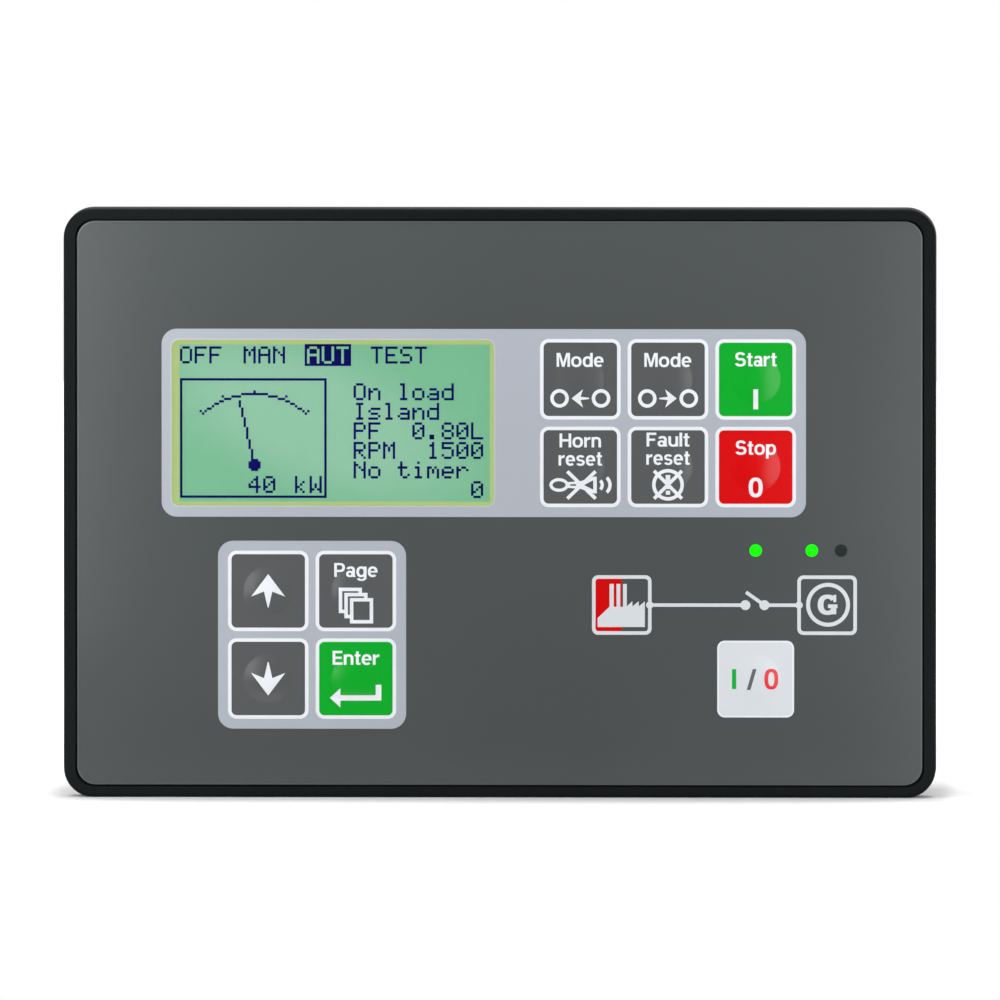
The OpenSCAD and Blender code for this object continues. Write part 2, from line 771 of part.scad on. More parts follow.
module rear_cover() {
    color("#232627") {
        difference() {
            union() {
                at_y(y_ledge)
                    edged_plate(body_w, body_h, body_corner_r, y_ledge - skirt_l)
                        rear_rounded_edge(body_corner_r, y_ledge - skirt_l, cover_edge_r);
                at_y(behind_panel)
                    edged_plate(plateau_w, plateau_h, plateau_r, ledge_drop + wall_t / 2)
                        rear_rounded_edge(plateau_r, ledge_drop + wall_t / 2, cover_edge_r);
            }
            slab(skirt_l - past, y_ledge - wall_t) rounded_rect(inner_w, inner_h, inner_r);
            slab(y_ledge - wall_t - past, behind_panel - wall_t)
                rounded_rect(plateau_w - 2 * wall_t, plateau_h - 2 * wall_t, plateau_r - wall_t);
            for (t = TERMINALS) at_terminal(t)
                block(0, 0, header_w(t[1]) + 2 * fit_gap,
                      2 * (nose_half + 2 * fit_gap + header_wall), y_ledge - wall_t - past, y_ledge + past);
            slab(behind_panel - wall_t - past, behind_panel + past)
                translate([hatch_x, 0]) rounded_rect(hatch_w, hatch_h, hatch_r);
            for (i = [0:vent_count - 1])
                block(vent_x + (i - (vent_count - 1) / 2) * vent_pitch, 0, vent_w, vent_l,
                      behind_panel - wall_t - past, behind_panel + past);
            for (i = [0:side_vent_count - 1], sz = [-1, 1])
                block((i - (side_vent_count - 1) / 2) * side_vent_pitch, sz * body_h / 2,
                      side_vent_w, 4 * wall_t, side_vent_y, side_vent_y + side_vent_l);
            slab(skirt_l - past, skirt_l + seam) difference() {
                square([body_w + past, body_h + past], center = true);
                rounded_rect(body_w - 2 * seam, body_h - 2 * seam, body_corner_r - seam);
            }
            for (sx = [-1, 1], sz = [-1, 1])
                block(sx * body_w / 2, sz * clamp_slot_z, 4 * wall_t, clamp_slot_l,
                      clamp_slot_y, clamp_slot_y + clamp_slot_w);
            at_corners(case_screw_x, case_screw_z) case_screw_hole();
        }
        cover_tongue();
        at_corners(case_screw_x, case_screw_z) difference() {
            rod(0, 0, case_boss_r, skirt_l, y_ledge - wall_t / 2);
            case_screw_hole();
        }
        at_corners(rear_post_x, rear_post_z)
            mirror([0, 1, 0]) tube(board_post_r, board_screw_r + screw_gap,
                                   -(behind_panel - wall_t), -y_main_back, board_bite + past);
    }
}

// Clearance hole with a well for the screw's head
module case_screw_hole() {
    rod(0, 0, case_screw_r + fit_gap, skirt_l - past, y_ledge + past);
    rod(0, 0, case_head_r + fit_gap, y_ledge - case_well, y_ledge + past);
}

// Lip of the rear cover that enters the front housing
module cover_tongue() {
    difference() {
        union() {
            slab(skirt_l - tongue_l, skirt_l + tongue_root)
                rounded_rect(inner_w - 2 * fit_gap, inner_h - 2 * fit_gap, inner_r - fit_gap);
            slab(skirt_l, skirt_l + tongue_root) rounded_rect(inner_w + past, inner_h + past, inner_r);
        }
        slab(skirt_l - tongue_l - past, skirt_l + tongue_root + past)
            rounded_rect(inner_w - 2 * (fit_gap + tongue_t), inner_h - 2 * (fit_gap + tongue_t),
                         inner_r - fit_gap);
        at_corners(case_screw_x, case_screw_z)
            rod(0, 0, case_boss_r + 2 * fit_gap, skirt_l - tongue_l - past, skirt_l);
        at_corners(case_screw_x, case_screw_z) case_screw_hole();
    }
}

// Snap-in cover of the plug-in module's opening
module module_cover() {
    y_hook = behind_panel - wall_t - seat_gap;
    color("#2a2d2e") {
        difference() {
            slab(behind_panel - wall_t, behind_panel) translate([hatch_x, 0])
                rounded_rect(hatch_w - 2 * fit_gap, hatch_h - 2 * fit_gap, hatch_r - fit_gap);
            slab(behind_panel - grip_depth, behind_panel + past)
                translate([hatch_x, hatch_h / 2 - grip_h]) rounded_rect(grip_w, grip_h, hatch_r);
        }
        for (sx = [-1, 1], sz = [-1, 1]) translate([hatch_x, 0, sz * hatch_h / 4]) {
            block(sx * (hatch_w / 2 - fit_gap - hook_t / 2), 0, hook_t, hook_w,
                  y_hook - hook_t, behind_panel - wall_t / 2);
            block(sx * (hatch_w / 2 - fit_gap - hook_t / 2 + hook_l / 2), 0, hook_t + hook_l, hook_w,
                  y_hook - hook_t, y_hook);
        }
    }
}

// A screw with a round head, driven towards the front
module screw(r, l, head_r, head_h) {
    rod(0, 0, r, -l, past / 2);
    difference() {
        rod(0, 0, head_r, 0, head_h);
        for (a = [0, 90]) translate([0, head_h, 0]) rotate([0, a, 0])
            block(0, 0, slot_w, head_r * cross_share, -head_h / 2, past);
    }
}

module case_screws() {
    y_seat = y_ledge - case_well;
    l = y_seat - skirt_l + case_bite;
    color("#9fa3a6") at_corners(case_screw_x, case_screw_z)
        translate([0, y_seat, 0]) screw(case_screw_r, l, case_head_r, case_head_h);
}

module board_screws() {
    color("#9fa3a6") {
        at_corners(front_post_x, front_post_z) translate([0, y_key_board + board_t, 0])
            screw(board_screw_r, board_t + board_bite, board_head_r, board_head_h);
        at_corners(rear_post_x, rear_post_z) translate([0, y_main_board, 0]) mirror([0, 1, 0])
            screw(board_screw_r, board_t + board_bite, board_head_r, board_head_h);
    }
}

front_housing();
front_overlay();
ink_light_grey();
ink_white();
ink_green();
ink_red();
display_window();
panel_gasket();
display_frame();
display_glass();
display_backlight();
key_board();
status_leds();
main_board();
board_connector();
processor();
filter_capacitors();
backup_battery();
battery_holder();
module_socket();
terminal_screws();
rear_cover();
module_cover();
case_screws();
board_screws();
for (k = KEYS) key_plunger(k);
for (k = KEYS) key_switch(k);
for (l = LIGHTS) light_guide(l);
for (t = TERMINALS) terminal_header(t);
for (t = TERMINALS) terminal_plug(t);
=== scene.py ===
"""Looks of the generator controller: printed film keypad, display, status lights, rear terminals."""
import json
import math

import bpy
import numpy as np
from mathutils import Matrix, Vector
from mathutils.geometry import delaunay_2d_cdt


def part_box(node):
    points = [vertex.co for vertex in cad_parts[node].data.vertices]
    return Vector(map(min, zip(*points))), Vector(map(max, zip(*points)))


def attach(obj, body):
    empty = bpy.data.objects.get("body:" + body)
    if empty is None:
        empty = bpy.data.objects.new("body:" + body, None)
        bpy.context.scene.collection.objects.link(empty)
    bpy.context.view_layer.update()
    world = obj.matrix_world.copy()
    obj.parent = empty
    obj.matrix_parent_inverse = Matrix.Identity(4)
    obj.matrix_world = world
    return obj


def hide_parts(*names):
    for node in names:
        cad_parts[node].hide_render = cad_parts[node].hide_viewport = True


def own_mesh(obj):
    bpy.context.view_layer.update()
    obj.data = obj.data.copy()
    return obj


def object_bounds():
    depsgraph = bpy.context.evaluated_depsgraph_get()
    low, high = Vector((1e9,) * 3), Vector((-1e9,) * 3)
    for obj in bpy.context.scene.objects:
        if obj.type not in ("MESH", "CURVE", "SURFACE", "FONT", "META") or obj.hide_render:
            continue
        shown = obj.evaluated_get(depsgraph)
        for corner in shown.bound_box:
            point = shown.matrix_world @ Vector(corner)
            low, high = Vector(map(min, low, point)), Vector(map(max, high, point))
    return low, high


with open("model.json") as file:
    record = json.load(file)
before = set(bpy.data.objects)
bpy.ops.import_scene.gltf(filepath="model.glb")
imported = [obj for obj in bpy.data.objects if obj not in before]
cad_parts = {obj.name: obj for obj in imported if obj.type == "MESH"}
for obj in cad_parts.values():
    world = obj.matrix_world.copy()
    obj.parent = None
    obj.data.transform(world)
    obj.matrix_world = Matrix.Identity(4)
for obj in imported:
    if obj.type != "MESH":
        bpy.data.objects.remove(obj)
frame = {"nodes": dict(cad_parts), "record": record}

cad_low, cad_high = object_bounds()

MM = 0.001
HOUSING = "housing"

# Film and print, in millimetres across (X) and up (Z)
FILM_T = 0.4
FILM_TRIM = 0.1
FILM_R = 3.9
FILM_CHAMFER = 0.3
FILM_CHAMFER_DROP = 0.1
KEY_R = 1.1
KEY_LINE = 0.75
FIELD_MARGIN = 2.1
FIELD_R = 3.2
WINDOW_LAP = 1.8
WINDOW_R = 1.6
WINDOW_HIGHLIGHT_WIDTH = 0.24
LIGHT_HOLE_R = 1.34
DOME_R = 5.3
DOME_RISE = 0.6
DOME_RINGS = 10
DOME_STEPS = 20
DOME_MORE_STEPS = 4
DOME_EDGE = 0.02
WHITE_KEY_SIZE = 16.3
WHITE_KEY_R = 1.6
WHITE_KEY_HIGHLIGHT_RIM = 0.4
ROUND_STEPS = 56

KEYS = ("up", "page", "down", "enter", "mode_left", "mode_right", "start",
        "horn_reset", "fault_reset", "stop", "breaker")
NAV_KEYS = ("up", "page", "down", "enter")
CONTROL_KEYS = ("mode_left", "mode_right", "start", "horn_reset", "fault_reset", "stop")
LIGHTS = ("breaker", "running", "alarm")
LIT = ("breaker", "running")
TERMINALS = ("voltage", "current", "supply", "inputs", "outputs")

# Lettering of the keys
WORD_H = 2.95
SYMBOL_LINE = 0.74

# Display: a field of square dots
DOTS_ACROSS = 128
DOTS_UP = 64
DOT_PITCH = 0.519
DOT_SIZE = 0.518
DOT_T = 0.05
DOT_FIELD_SHIFT = (0.17, -0.03)
LETTER_STEP = 6

# The photograph's frame
IMAGE_PX = 1000
PX_PER_MM = 4.716
FILM_CENTRE_PX = (499.65, 503.1)
SENSOR = 36
VIEW_DISTANCE = 8000
VIEW_LIFT = 2.7
VIEW_TURN = 1.4


def middle(node):
    """Centre of a CAD node, across and up, in millimetres."""
    low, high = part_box(node)
    return ((low.x + high.x) / 2 / MM, (low.z + high.z) / 2 / MM)


def extent(node):
    """Width and height of a CAD node, in millimetres."""
    low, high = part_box(node)
    return ((high.x - low.x) / MM, (high.z - low.z) / MM)


FILM_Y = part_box("ink_light_grey")[1].y / MM
FILM_W, FILM_H = extent("front_overlay")
KEY_AT = {key: middle("key_" + key) for key in KEYS}
LIGHT_AT = {light: middle("light_guide_" + light) for light in LIGHTS}
KEY_SIZE = extent("ink_red")[0]
KEY_BORDER = KEY_SIZE + 2 * KEY_LINE
WINDOW_AT = middle("display_window")
WINDOW_W, WINDOW_H = (side - 2 * WINDOW_LAP for side in extent("display_window"))
GLASS_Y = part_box("display_glass")[0].y / MM


# Outlines: closed loops of points, across and up, in millimetres

def rounded_box(centre, w, h, r, steps=8):
    points = []
    for corner, (sx, sz) in enumerate(((1, 1), (-1, 1), (-1, -1), (1, -1))):
        cx, cz = centre[0] + sx * (w / 2 - r), centre[1] + sz * (h / 2 - r)
        for i in range(steps + 1):
            a = math.radians(90 * (corner + i / steps))
            points.append((cx + r * math.cos(a), cz + r * math.sin(a)))
    return points


def box(centre, w, h):
    left, right = centre[0] - w / 2, centre[0] + w / 2
    foot, top = centre[1] - h / 2, centre[1] + h / 2
    return [(left, foot), (right, foot), (right, top), (left, top)]


def oval(centre, rx, rz, steps=ROUND_STEPS):
    angles = [2 * math.pi / steps * i for i in range(steps)]
    return [(centre[0] + rx * math.cos(a), centre[1] + rz * math.sin(a)) for a in angles]


def full_oval(centre, rx, rz, fullness=2.5, steps=ROUND_STEPS):
    """An oval whose sides run straighter, as in bold letters; a fullness of 2 is a plain oval."""
    points = []
    for x, z in oval((0, 0), 1, 1, steps):
        points.append((centre[0] + rx * math.copysign(abs(x) ** (2 / fullness), x),
                       centre[1] + rz * math.copysign(abs(z) ** (2 / fullness), z)))
    return points


def bar(start, end, width):
    """A straight stroke with square ends."""
    dx, dz = end[0] - start[0], end[1] - start[1]
    length = math.hypot(dx, dz)
    sx, sz = -dz / length * width / 2, dx / length * width / 2
    return [(start[0] + sx, start[1] + sz), (start[0] - sx, start[1] - sz),
            (end[0] - sx, end[1] - sz), (end[0] + sx, end[1] + sz)]


def ring(centre, rx, rz, line):
    """An oval line: its outer and inner loops."""
    return [oval(centre, rx, rz), oval(centre, rx - line, rz - line)]


def arc_stroke(centre, r, half_angle, line, steps=12):
    """A curved stroke, open towards its centre on the left."""
    angles = [math.radians(half_angle * (2 * i / steps - 1)) for i in range(steps + 1)]
    outer, inner = ([(centre[0] + reach * math.cos(a), centre[1] + reach * math.sin(a)) for a in angles]
                    for reach in (r + line / 2, r - line / 2))
    return outer + inner[::-1]


def placed(loops, at, turn=1):
    """Loops moved to a place, turned over across where turn is -1."""
    return [[(at[0] + turn * x, at[1] + z) for x, z in loop] for loop in loops]


def inside(points, loops):
    """Which points lie inside loops, by the even-odd rule."""
    hit = np.zeros(len(points), bool)
    x, z = points[:, 0], points[:, 1]
    for loop in loops:
        for (x0, z0), (x1, z1) in zip(loop, loop[1:] + loop[:1]):
            if z0 != z1:
                crosses = (z0 > z) != (z1 > z)
                hit ^= crosses & (x < (x1 - x0) * (z - z0) / (z1 - z0) + x0)
    return hit


# Bold letters, one unit high, each as its width and its overlapping strokes

STEM = 0.2
THIN = 0.16
LOWER_H = 0.74
LETTER_GAP = 0.09
CURVE_STEPS = 40
CURVE_FULLNESS = 2.3


def bowl(x, z, rx, rz, start=0, end=360, line=(STEM, THIN)):
    """A round stroke around x, z, from one angle on to another."""
    outer = full_oval((x, z), rx, rz, CURVE_FULLNESS, CURVE_STEPS)
    inner = full_oval((x, z), rx - line[0], rz - line[1], CURVE_FULLNESS, CURVE_STEPS)
    if end - start == 360:
        return [outer, inner]
    run = range(round(start * CURVE_STEPS / 360), round(end * CURVE_STEPS / 360) + 1)
    return [[outer[i % CURVE_STEPS] for i in run] + [inner[i % CURVE_STEPS] for i in reversed(run)]]


def block(left, foot, right, top):
    return [box(((left + right) / 2, (foot + top) / 2), right - left, top - foot)]


def stem(left, foot=0, top=1):
    return block(left, foot, left + STEM, top)


BOLD = {
    "E": (0.74, [stem(0), block(0.1, 0.83, 0.72, 1), block(0.1, 0.42, 0.67, 0.58),
                 block(0.1, 0, 0.74, 0.17)]),
    "F": (0.7, [stem(0), block(0.1, 0.83, 0.7, 1), block(0.1, 0.41, 0.62, 0.57)]),
    "G": (0.96, [bowl(0.48, 0.5, 0.48, 0.515, 36, 333, (0.28, 0.21)), block(0.5, 0.33, 0.96, 0.52),
                 block(0.7, 0.02, 0.9, 0.4), block(0.76, 0.63, 0.9, 1)]),
    "H": (0.88, [stem(0), stem(0.68), block(0.1, 0.42, 0.78, 0.59)]),
    "M": (1.02, [[[(0, 0), (0.19, 0), (0.19, 0.76), (0.42, 0), (0.6, 0), (0.83, 0.76), (0.83, 0),
                   (1.02, 0), (1.02, 1), (0.74, 1), (0.51, 0.3), (0.28, 1), (0, 1)]]]),
    "P": (0.8, [stem(0), bowl(0.43, 0.675, 0.37, 0.325, -90, 90), block(0.1, 0.84, 0.44, 1),
                block(0.1, 0.35, 0.44, 0.51)]),
    "S": (0.84, [bowl(0.42, 0.715, 0.38, 0.3, 18, 270), bowl(0.42, 0.29, 0.42, 0.305, -162, 90)]),
    "a": (0.68, [stem(0.46, 0, 0.5), bowl(0.34, 0.5, 0.32, 0.255, 0, 162),
                 bowl(0.29, 0.215, 0.29, 0.23, line=(0.19, 0.14)), block(0.5, 0, 0.7, 0.09)]),
    "d": (0.76, [bowl(0.37, 0.37, 0.37, 0.385), stem(0.56)]),
    "e": (0.73, [bowl(0.365, 0.37, 0.365, 0.385, 0, 315), block(0.1, 0.31, 0.73, 0.43)]),
    "g": (0.76, [bowl(0.37, 0.37, 0.37, 0.385), stem(0.56, -0.05, LOWER_H),
                 bowl(0.39, -0.02, 0.37, 0.265, 198, 360, (STEM, 0.14))]),
    "l": (STEM, [stem(0)]),
    "n": (0.71, [stem(0, 0, LOWER_H), stem(0.51, 0, 0.43), bowl(0.355, 0.42, 0.355, 0.335, 0, 160)]),
    "o": (0.79, [bowl(0.395, 0.37, 0.395, 0.385)]),
    "p": (0.76, [bowl(0.39, 0.37, 0.37, 0.385), stem(0, -0.27, LOWER_H)]),
    "r": (0.47, [stem(0, 0, LOWER_H), [[(0.15, 0.36), (0.24, 0.5), (0.36, 0.56), (0.47, 0.56),
                                        (0.47, 0.755), (0.37, 0.745), (0.26, 0.69), (0.15, 0.56)]]]),
    "s": (0.66, [bowl(0.33, 0.53, 0.31, 0.225, 22, 270, (0.19, 0.15)),
                 bowl(0.33, 0.215, 0.33, 0.23, -158, 90, (0.19, 0.15))]),
    "t": (0.43, [stem(0.1, 0.06, 0.95), block(0, 0.6, 0.43, LOWER_H), block(0.14, 0, 0.43, 0.14)]),
    "u": (0.71, [stem(0.51, 0, LOWER_H), stem(0, 0.31, LOWER_H),
                 bowl(0.355, 0.32, 0.355, 0.335, 180, 340)]),
    "0": (0.72, [bowl(0.36, 0.5, 0.36, 0.51)]),
    "1": (0.5, [stem(0.3), [[(0.06, 0.62), (0.4, 0.8), (0.4, 1), (0.3, 1), (0.06, 0.8)]]]),
    "2": (0.72, [bowl(0.36, 0.69, 0.35, 0.32, -35, 170),
                 [[(0, 0), (0.72, 0), (0.72, 0.17), (0.27, 0.17), (0.66, 0.54),
                   (0.5, 0.62), (0, 0.15)]]]),
    "3": (0.72, [bowl(0.34, 0.725, 0.33, 0.285, -90, 165), bowl(0.35, 0.29, 0.37, 0.3, -165, 90)]),
    "4": (0.76, [stem(0.44), block(0, 0.2, 0.76, 0.36),
                 [[(0, 0.36), (0, 0.22), (0.2, 0.22), (0.6, 1), (0.42, 1)]]]),
    "5": (0.72, [bowl(0.34, 0.33, 0.38, 0.34, -160, 130), block(0.1, 0.83, 0.66, 1),
                 block(0.06, 0.42, 0.25, 1)]),
    "6": (0.74, [bowl(0.37, 0.33, 0.37, 0.34), bowl(0.37, 0.5, 0.37, 0.51, 40, 190)]),
    "7": (0.72, [block(0, 0.83, 0.72, 1), [[(0.16, 0), (0.37, 0), (0.72, 0.85), (0.5, 0.85)]]]),
    "8": (0.74, [bowl(0.37, 0.735, 0.34, 0.275), bowl(0.37, 0.28, 0.37, 0.29)]),
    "9": (0.74, [bowl(0.37, 0.67, 0.37, 0.34), bowl(0.37, 0.5, 0.37, 0.51, 220, 370)]),
}


def word(text, height, centre_x, foot_z, width=None):
    """A printed word as shapes, by its capitals' height, middle across, foot and full width."""
    shapes, pen = [], 0
    for letter in text:
        across, strokes = BOLD[letter]
        shapes += [placed(shape, (pen, 0)) for shape in strokes]
        pen += across + LETTER_GAP
    length = pen - LETTER_GAP
    stretch = width / length if width else height
    return [[[(centre_x + (x - length / 2) * stretch, foot_z + z * height) for x, z in loop]
             for loop in shape] for shape in shapes]


# Finishes

TONE_SPAN = (0.3, 0.7)
RELIEF_STRENGTH = 0.5


def srgb(r, g, b):
    """A colour as seen, 0 to 255, in Blender's linear values."""
    def linear(v):
        v /= 255
        return v / 12.92 if v <= 0.04045 else ((v + 0.055) / 1.055) ** 2.4
    return (linear(r), linear(g), linear(b), 1)


def feed(tree, socket, value):
    """Links a socket to another one, or sets it to a plain value."""
    if isinstance(value, bpy.types.NodeSocket):
        tree.links.new(value, socket)
    else:
        socket.default_value = value


def worked_out(tree, kind, operation, values):
    """The outputs of a math node on the values given."""
    node = tree.nodes.new(kind)
    node.operation = operation
    for socket, value in zip(node.inputs, values):
        feed(tree, socket, value)
    return node.outputs


def step(tree, operation, *values):
    return worked_out(tree, "ShaderNodeMath", operation, values)["Value"]


def vector_step(tree, operation, *values):
    result = "Value" if operation == "LENGTH" else "Vector"
    return worked_out(tree, "ShaderNodeVectorMath", operation, values)[result]


def ramp(tree, value, ends, levels=(0, 1), kind="SMOOTHSTEP"):
    """A value that runs between two ends, mapped onto two levels."""
    node = tree.nodes.new("ShaderNodeMapRange")
    node.interpolation_type = kind
    labels = ("Value", "From Min", "From Max", "To Min", "To Max")
    for label, given in zip(labels, (value, *ends, *levels)):
        feed(tree, node.inputs[label], given)
    return node.outputs["Result"]


def mixed(tree, kind, factor, first, second):
    """Two numbers or two colours mixed by a factor."""
    node = tree.nodes.new("ShaderNodeMix")
    node.data_type = kind
    for label, value in (("Factor", factor), ("A", first), ("B", second)):
        feed(tree, node.inputs[label], value)
    return node.outputs["Result"]


def noise(tree, where, scale, detail=2):
    node = tree.nodes.new("ShaderNodeTexNoise")
    for label, value in (("Vector", where), ("Scale", scale), ("Detail", detail)):
        feed(tree, node.inputs[label], value)
    return node.outputs["Fac"]


def object_place(tree):
    return tree.nodes.new("ShaderNodeTexCoord").outputs["Object"]


def new_material(name):
    """A new material with its node tree and its surface shader."""
    material = bpy.data.materials.new(name)
    material.use_nodes = True
    return material, material.node_tree, material.node_tree.nodes["Principled BSDF"]


def grain_group():
    """Fine grain and soft clouds: a tone for colour and gloss, and a height for relief."""
    group = bpy.data.node_groups.new("surface_grain", "ShaderNodeTree")
    for label, value in (("Grain Scale", 4000), ("Cloud Scale", 30), ("Cloud Share", 0.5)):
        socket = group.interface.new_socket(label, in_out="INPUT", socket_type="NodeSocketFloat")
        socket.default_value = value
    for label in ("Tone", "Height"):
        group.interface.new_socket(label, in_out="OUTPUT", socket_type="NodeSocketFloat")
    given, result = group.nodes.new("NodeGroupInput"), group.nodes.new("NodeGroupOutput")
    where = object_place(group)
    grain = noise(group, where, given.outputs["Grain Scale"], detail=3)
    clouds = noise(group, where, given.outputs["Cloud Scale"])
    tone = mixed(group, "FLOAT", given.outputs["Cloud Share"], grain, clouds)
    feed(group, result.inputs["Tone"], tone)
    feed(group, result.inputs["Height"], grain)
    return group


GRAIN = grain_group()


def finish(name, light, dark, rough=(0.35, 0.5), grain=4000, clouds=30, share=0.5, relief=0, **shader):
    """A surface of two close tones, with its gloss and relief broken by a fine grain."""
    material, tree, surface = new_material(name)
    for socket, value in shader.items():
        surface.inputs[socket.replace("_", " ")].default_value = value
    texture = tree.nodes.new("ShaderNodeGroup")
    texture.node_tree = GRAIN
    for label, value in (("Grain Scale", grain), ("Cloud Scale", clouds), ("Cloud Share", share)):
        texture.inputs[label].default_value = value
    tone = texture.outputs["Tone"]
    spread = ramp(tree, tone, TONE_SPAN, kind="LINEAR")
    feed(tree, surface.inputs["Base Color"], mixed(tree, "RGBA", spread, srgb(*dark), srgb(*light)))
    feed(tree, surface.inputs["Roughness"], ramp(tree, tone, (0, 1), rough, "LINEAR"))
    if relief:
        bump = tree.nodes.new("ShaderNodeBump")
        bump.inputs["Strength"].default_value = RELIEF_STRENGTH
        bump.inputs["Distance"].default_value = relief * MM
        feed(tree, bump.inputs["Height"], texture.outputs["Height"])
        feed(tree, surface.inputs["Normal"], bump.outputs["Normal"])
    return material


def printed(name, r, g, b, spread=4):
    """Ink under the film's satin face."""
    light = [min(255, v + spread / 2) for v in (r, g, b)]
    dark = [max(0, v - spread / 2) for v in (r, g, b)]
    return finish(name, light, dark, rough=(0.18, 0.26), grain=9000, clouds=18, share=0.6, relief=0.012,
                  Specular_IOR_Level=0.3)


INK = {
    "film": printed("film_grey", 75, 79, 80),
    # A lighter ring on the film's chamfered cut edge: a painted highlight.
    "film_edge_highlight": printed("film_edge_highlight", 98, 101, 102),
    "key": printed("key_grey", 85, 87, 88),
    "light": printed("field_light_grey", 170, 175, 184),
    # A lighter ring along the film's cut edge around the window: a painted highlight.
    "window_edge_highlight": printed("window_edge_highlight", 184, 189, 195),
    "white": printed("line_white", 228, 231, 236, 3),
    "diagram": printed("diagram_grey", 210, 214, 218, 3),
    "white_key": printed("key_white", 212, 216, 221),
    "green": printed("key_green", 9, 164, 40, 6),
    "red": printed("key_red", 209, 4, 7, 6),
    "sign_red": printed("sign_red", 201, 2, 4),
    "mark_green": printed("mark_green", 24, 172, 62),
    "mark_red": printed("mark_red", 226, 46, 52),
    "mark_grey": printed("mark_grey", 96, 100, 103),
}


# The film: flat sheets with their print as coloured faces

WELD = 1e-5
LEVEL = 1e-6


def filled(loops):
    """Closed loops filled with triangles: points, faces, their centres and what each point joins."""
    points, edges = [], []
    for loop in loops:
        first = len(points)
        points.extend(loop)
        edges.extend((first + i, first + (i + 1) % len(loop)) for i in range(len(loop)))
    found, _, faces, origin, _, _ = delaunay_2d_cdt(points, edges, [], 0, WELD, True)
    flat, faces = np.array([tuple(point) for point in found]), np.array(faces)
    return flat, faces, flat[faces].mean(axis=1), origin


def new_piece(name, data):
    piece = bpy.data.objects.new(name, data)
    bpy.context.scene.collection.objects.link(piece)
    return piece


def sheet(name, flat, faces, front, back, materials):
    """A closed sheet between two depths: front faces first, then back faces, then the walls."""
    used, corners = np.unique(faces, return_inverse=True)
    faces, count = corners.reshape(-1, 3), len(used)
    vertices = [(x * MM, y * MM, z * MM) for depth in (front, back)
                for (x, z), y in zip(flat[used], depth[used])]
    directed = {(face[i], face[(i + 1) % 3]) for face in faces for i in range(3)}
    polygons = [*faces, *(faces[:, ::-1] + count)]
    polygons += [(a, a + count, b + count, b) for a, b in sorted(directed) if (b, a) not in directed]
    mesh = bpy.data.meshes.new(name)
    mesh.from_pydata(vertices, [], [[int(i) for i in polygon] for polygon in polygons])
    for material in materials:
        mesh.materials.append(material)
    return new_piece(name, mesh)


def film_piece(name, outline, base, prints, holes=(), rise=None, guides=(), edge=0):
    """A piece of film with print.

    outline and holes bound it. prints lists ink and shape, from the first printed to the last. guides
    are loops that only shape the mesh. rise gives how far a point stands in front of the film. edge is
    how far the outline lies behind the film's face.
    """
    print_loops = [loop for _, shape in prints for loop in shape]
    flat, faces, centre, origin = filled([outline, *holes, *guides, *print_loops])
    keep = inside(centre, [outline])
    for hole in holes:
        keep &= ~inside(centre, [hole])
    faces, centre = faces[keep], centre[keep]

    inks = list(dict.fromkeys([base, *(ink for ink, _ in prints)]))
    face_ink = np.zeros(len(faces), int)
    for ink, shape in prints:
        face_ink[inside(centre, shape)] = inks.index(ink)

    stands = rise(flat) if rise else np.zeros(len(flat))
    raised = stands > LEVEL
    front = FILM_Y - stands
    front[[any(point < len(outline) for point in joined) for joined in origin]] += edge
    back = np.where(raised, front, FILM_Y) + FILM_T
    piece = sheet(name, flat, faces, front, back, [INK[ink] for ink in inks])

    polygons = piece.data.polygons
    domed = raised[faces].any(axis=1).tolist()
    polygons.foreach_set("material_index", face_ink.tolist() + [0] * (len(polygons) - len(faces)))
    polygons.foreach_set("use_smooth", domed + domed + [False] * (len(polygons) - 2 * len(faces)))
    return piece


def dome_over(centre):
    """How far the film of a key stands forward: a cap of a sphere."""
    ball = (DOME_R ** 2 + DOME_RISE ** 2) / (2 * DOME_RISE)

    def rise(points):
        away = np.hypot(points[:, 0] - centre[0], points[:, 1] - centre[1])
        cap = np.sqrt(np.maximum(ball ** 2 - away ** 2, 0)) - (ball - DOME_RISE)
        return np.where(away < DOME_R - DOME_EDGE, cap, 0)
    return rise


# Symbols of the keys, around the key's centre

def swallow_arrow(tip, wing, notch, tail):
    """An arrow to the right with swept wings and a tapering tail, each given as across, up."""
    half = [tip, wing, notch, tail]
    return half + [(x, -z) for x, z in half[:0:-1]]


def upright(loop, up):
    """An arrow to the right, turned to point up (1) or down (-1)."""
    return [(-z * up, x * up) for x, z in loop]


MODE_ARROW = swallow_arrow((1.85, 0), (-0.6, 1.95), (-0.05, 0.36), (-1.85, 0.14))
NAV_ARROW = swallow_arrow((3.6, 0), (-1.2, 3.62), (-0.1, 0.88), (-3.5, 0.1))
MODE_RING_X = 4.4
MODE_RING_R = 1.97
LOWER_SYMBOL_Z = -4.05
ZERO_CAP_SHARE = 0.85


def mode_symbol(turn):
    """Two rings and an arrow between them, to the right (1) or to the left (-1)."""
    rings = [ring((side * MODE_RING_X, LOWER_SYMBOL_Z), MODE_RING_R, MODE_RING_R, SYMBOL_LINE)
             for side in (-1, 1)]
    return rings + [placed([MODE_ARROW], (0, LOWER_SYMBOL_Z), turn)]


def crossed(centre, reach_x, reach_z, line):
    """Two crossing strokes."""
    cx, cz = centre
    return [[bar((cx - reach_x, cz + slope * reach_z), (cx + reach_x, cz - slope * reach_z), line)]
            for slope in (-1, 1)]


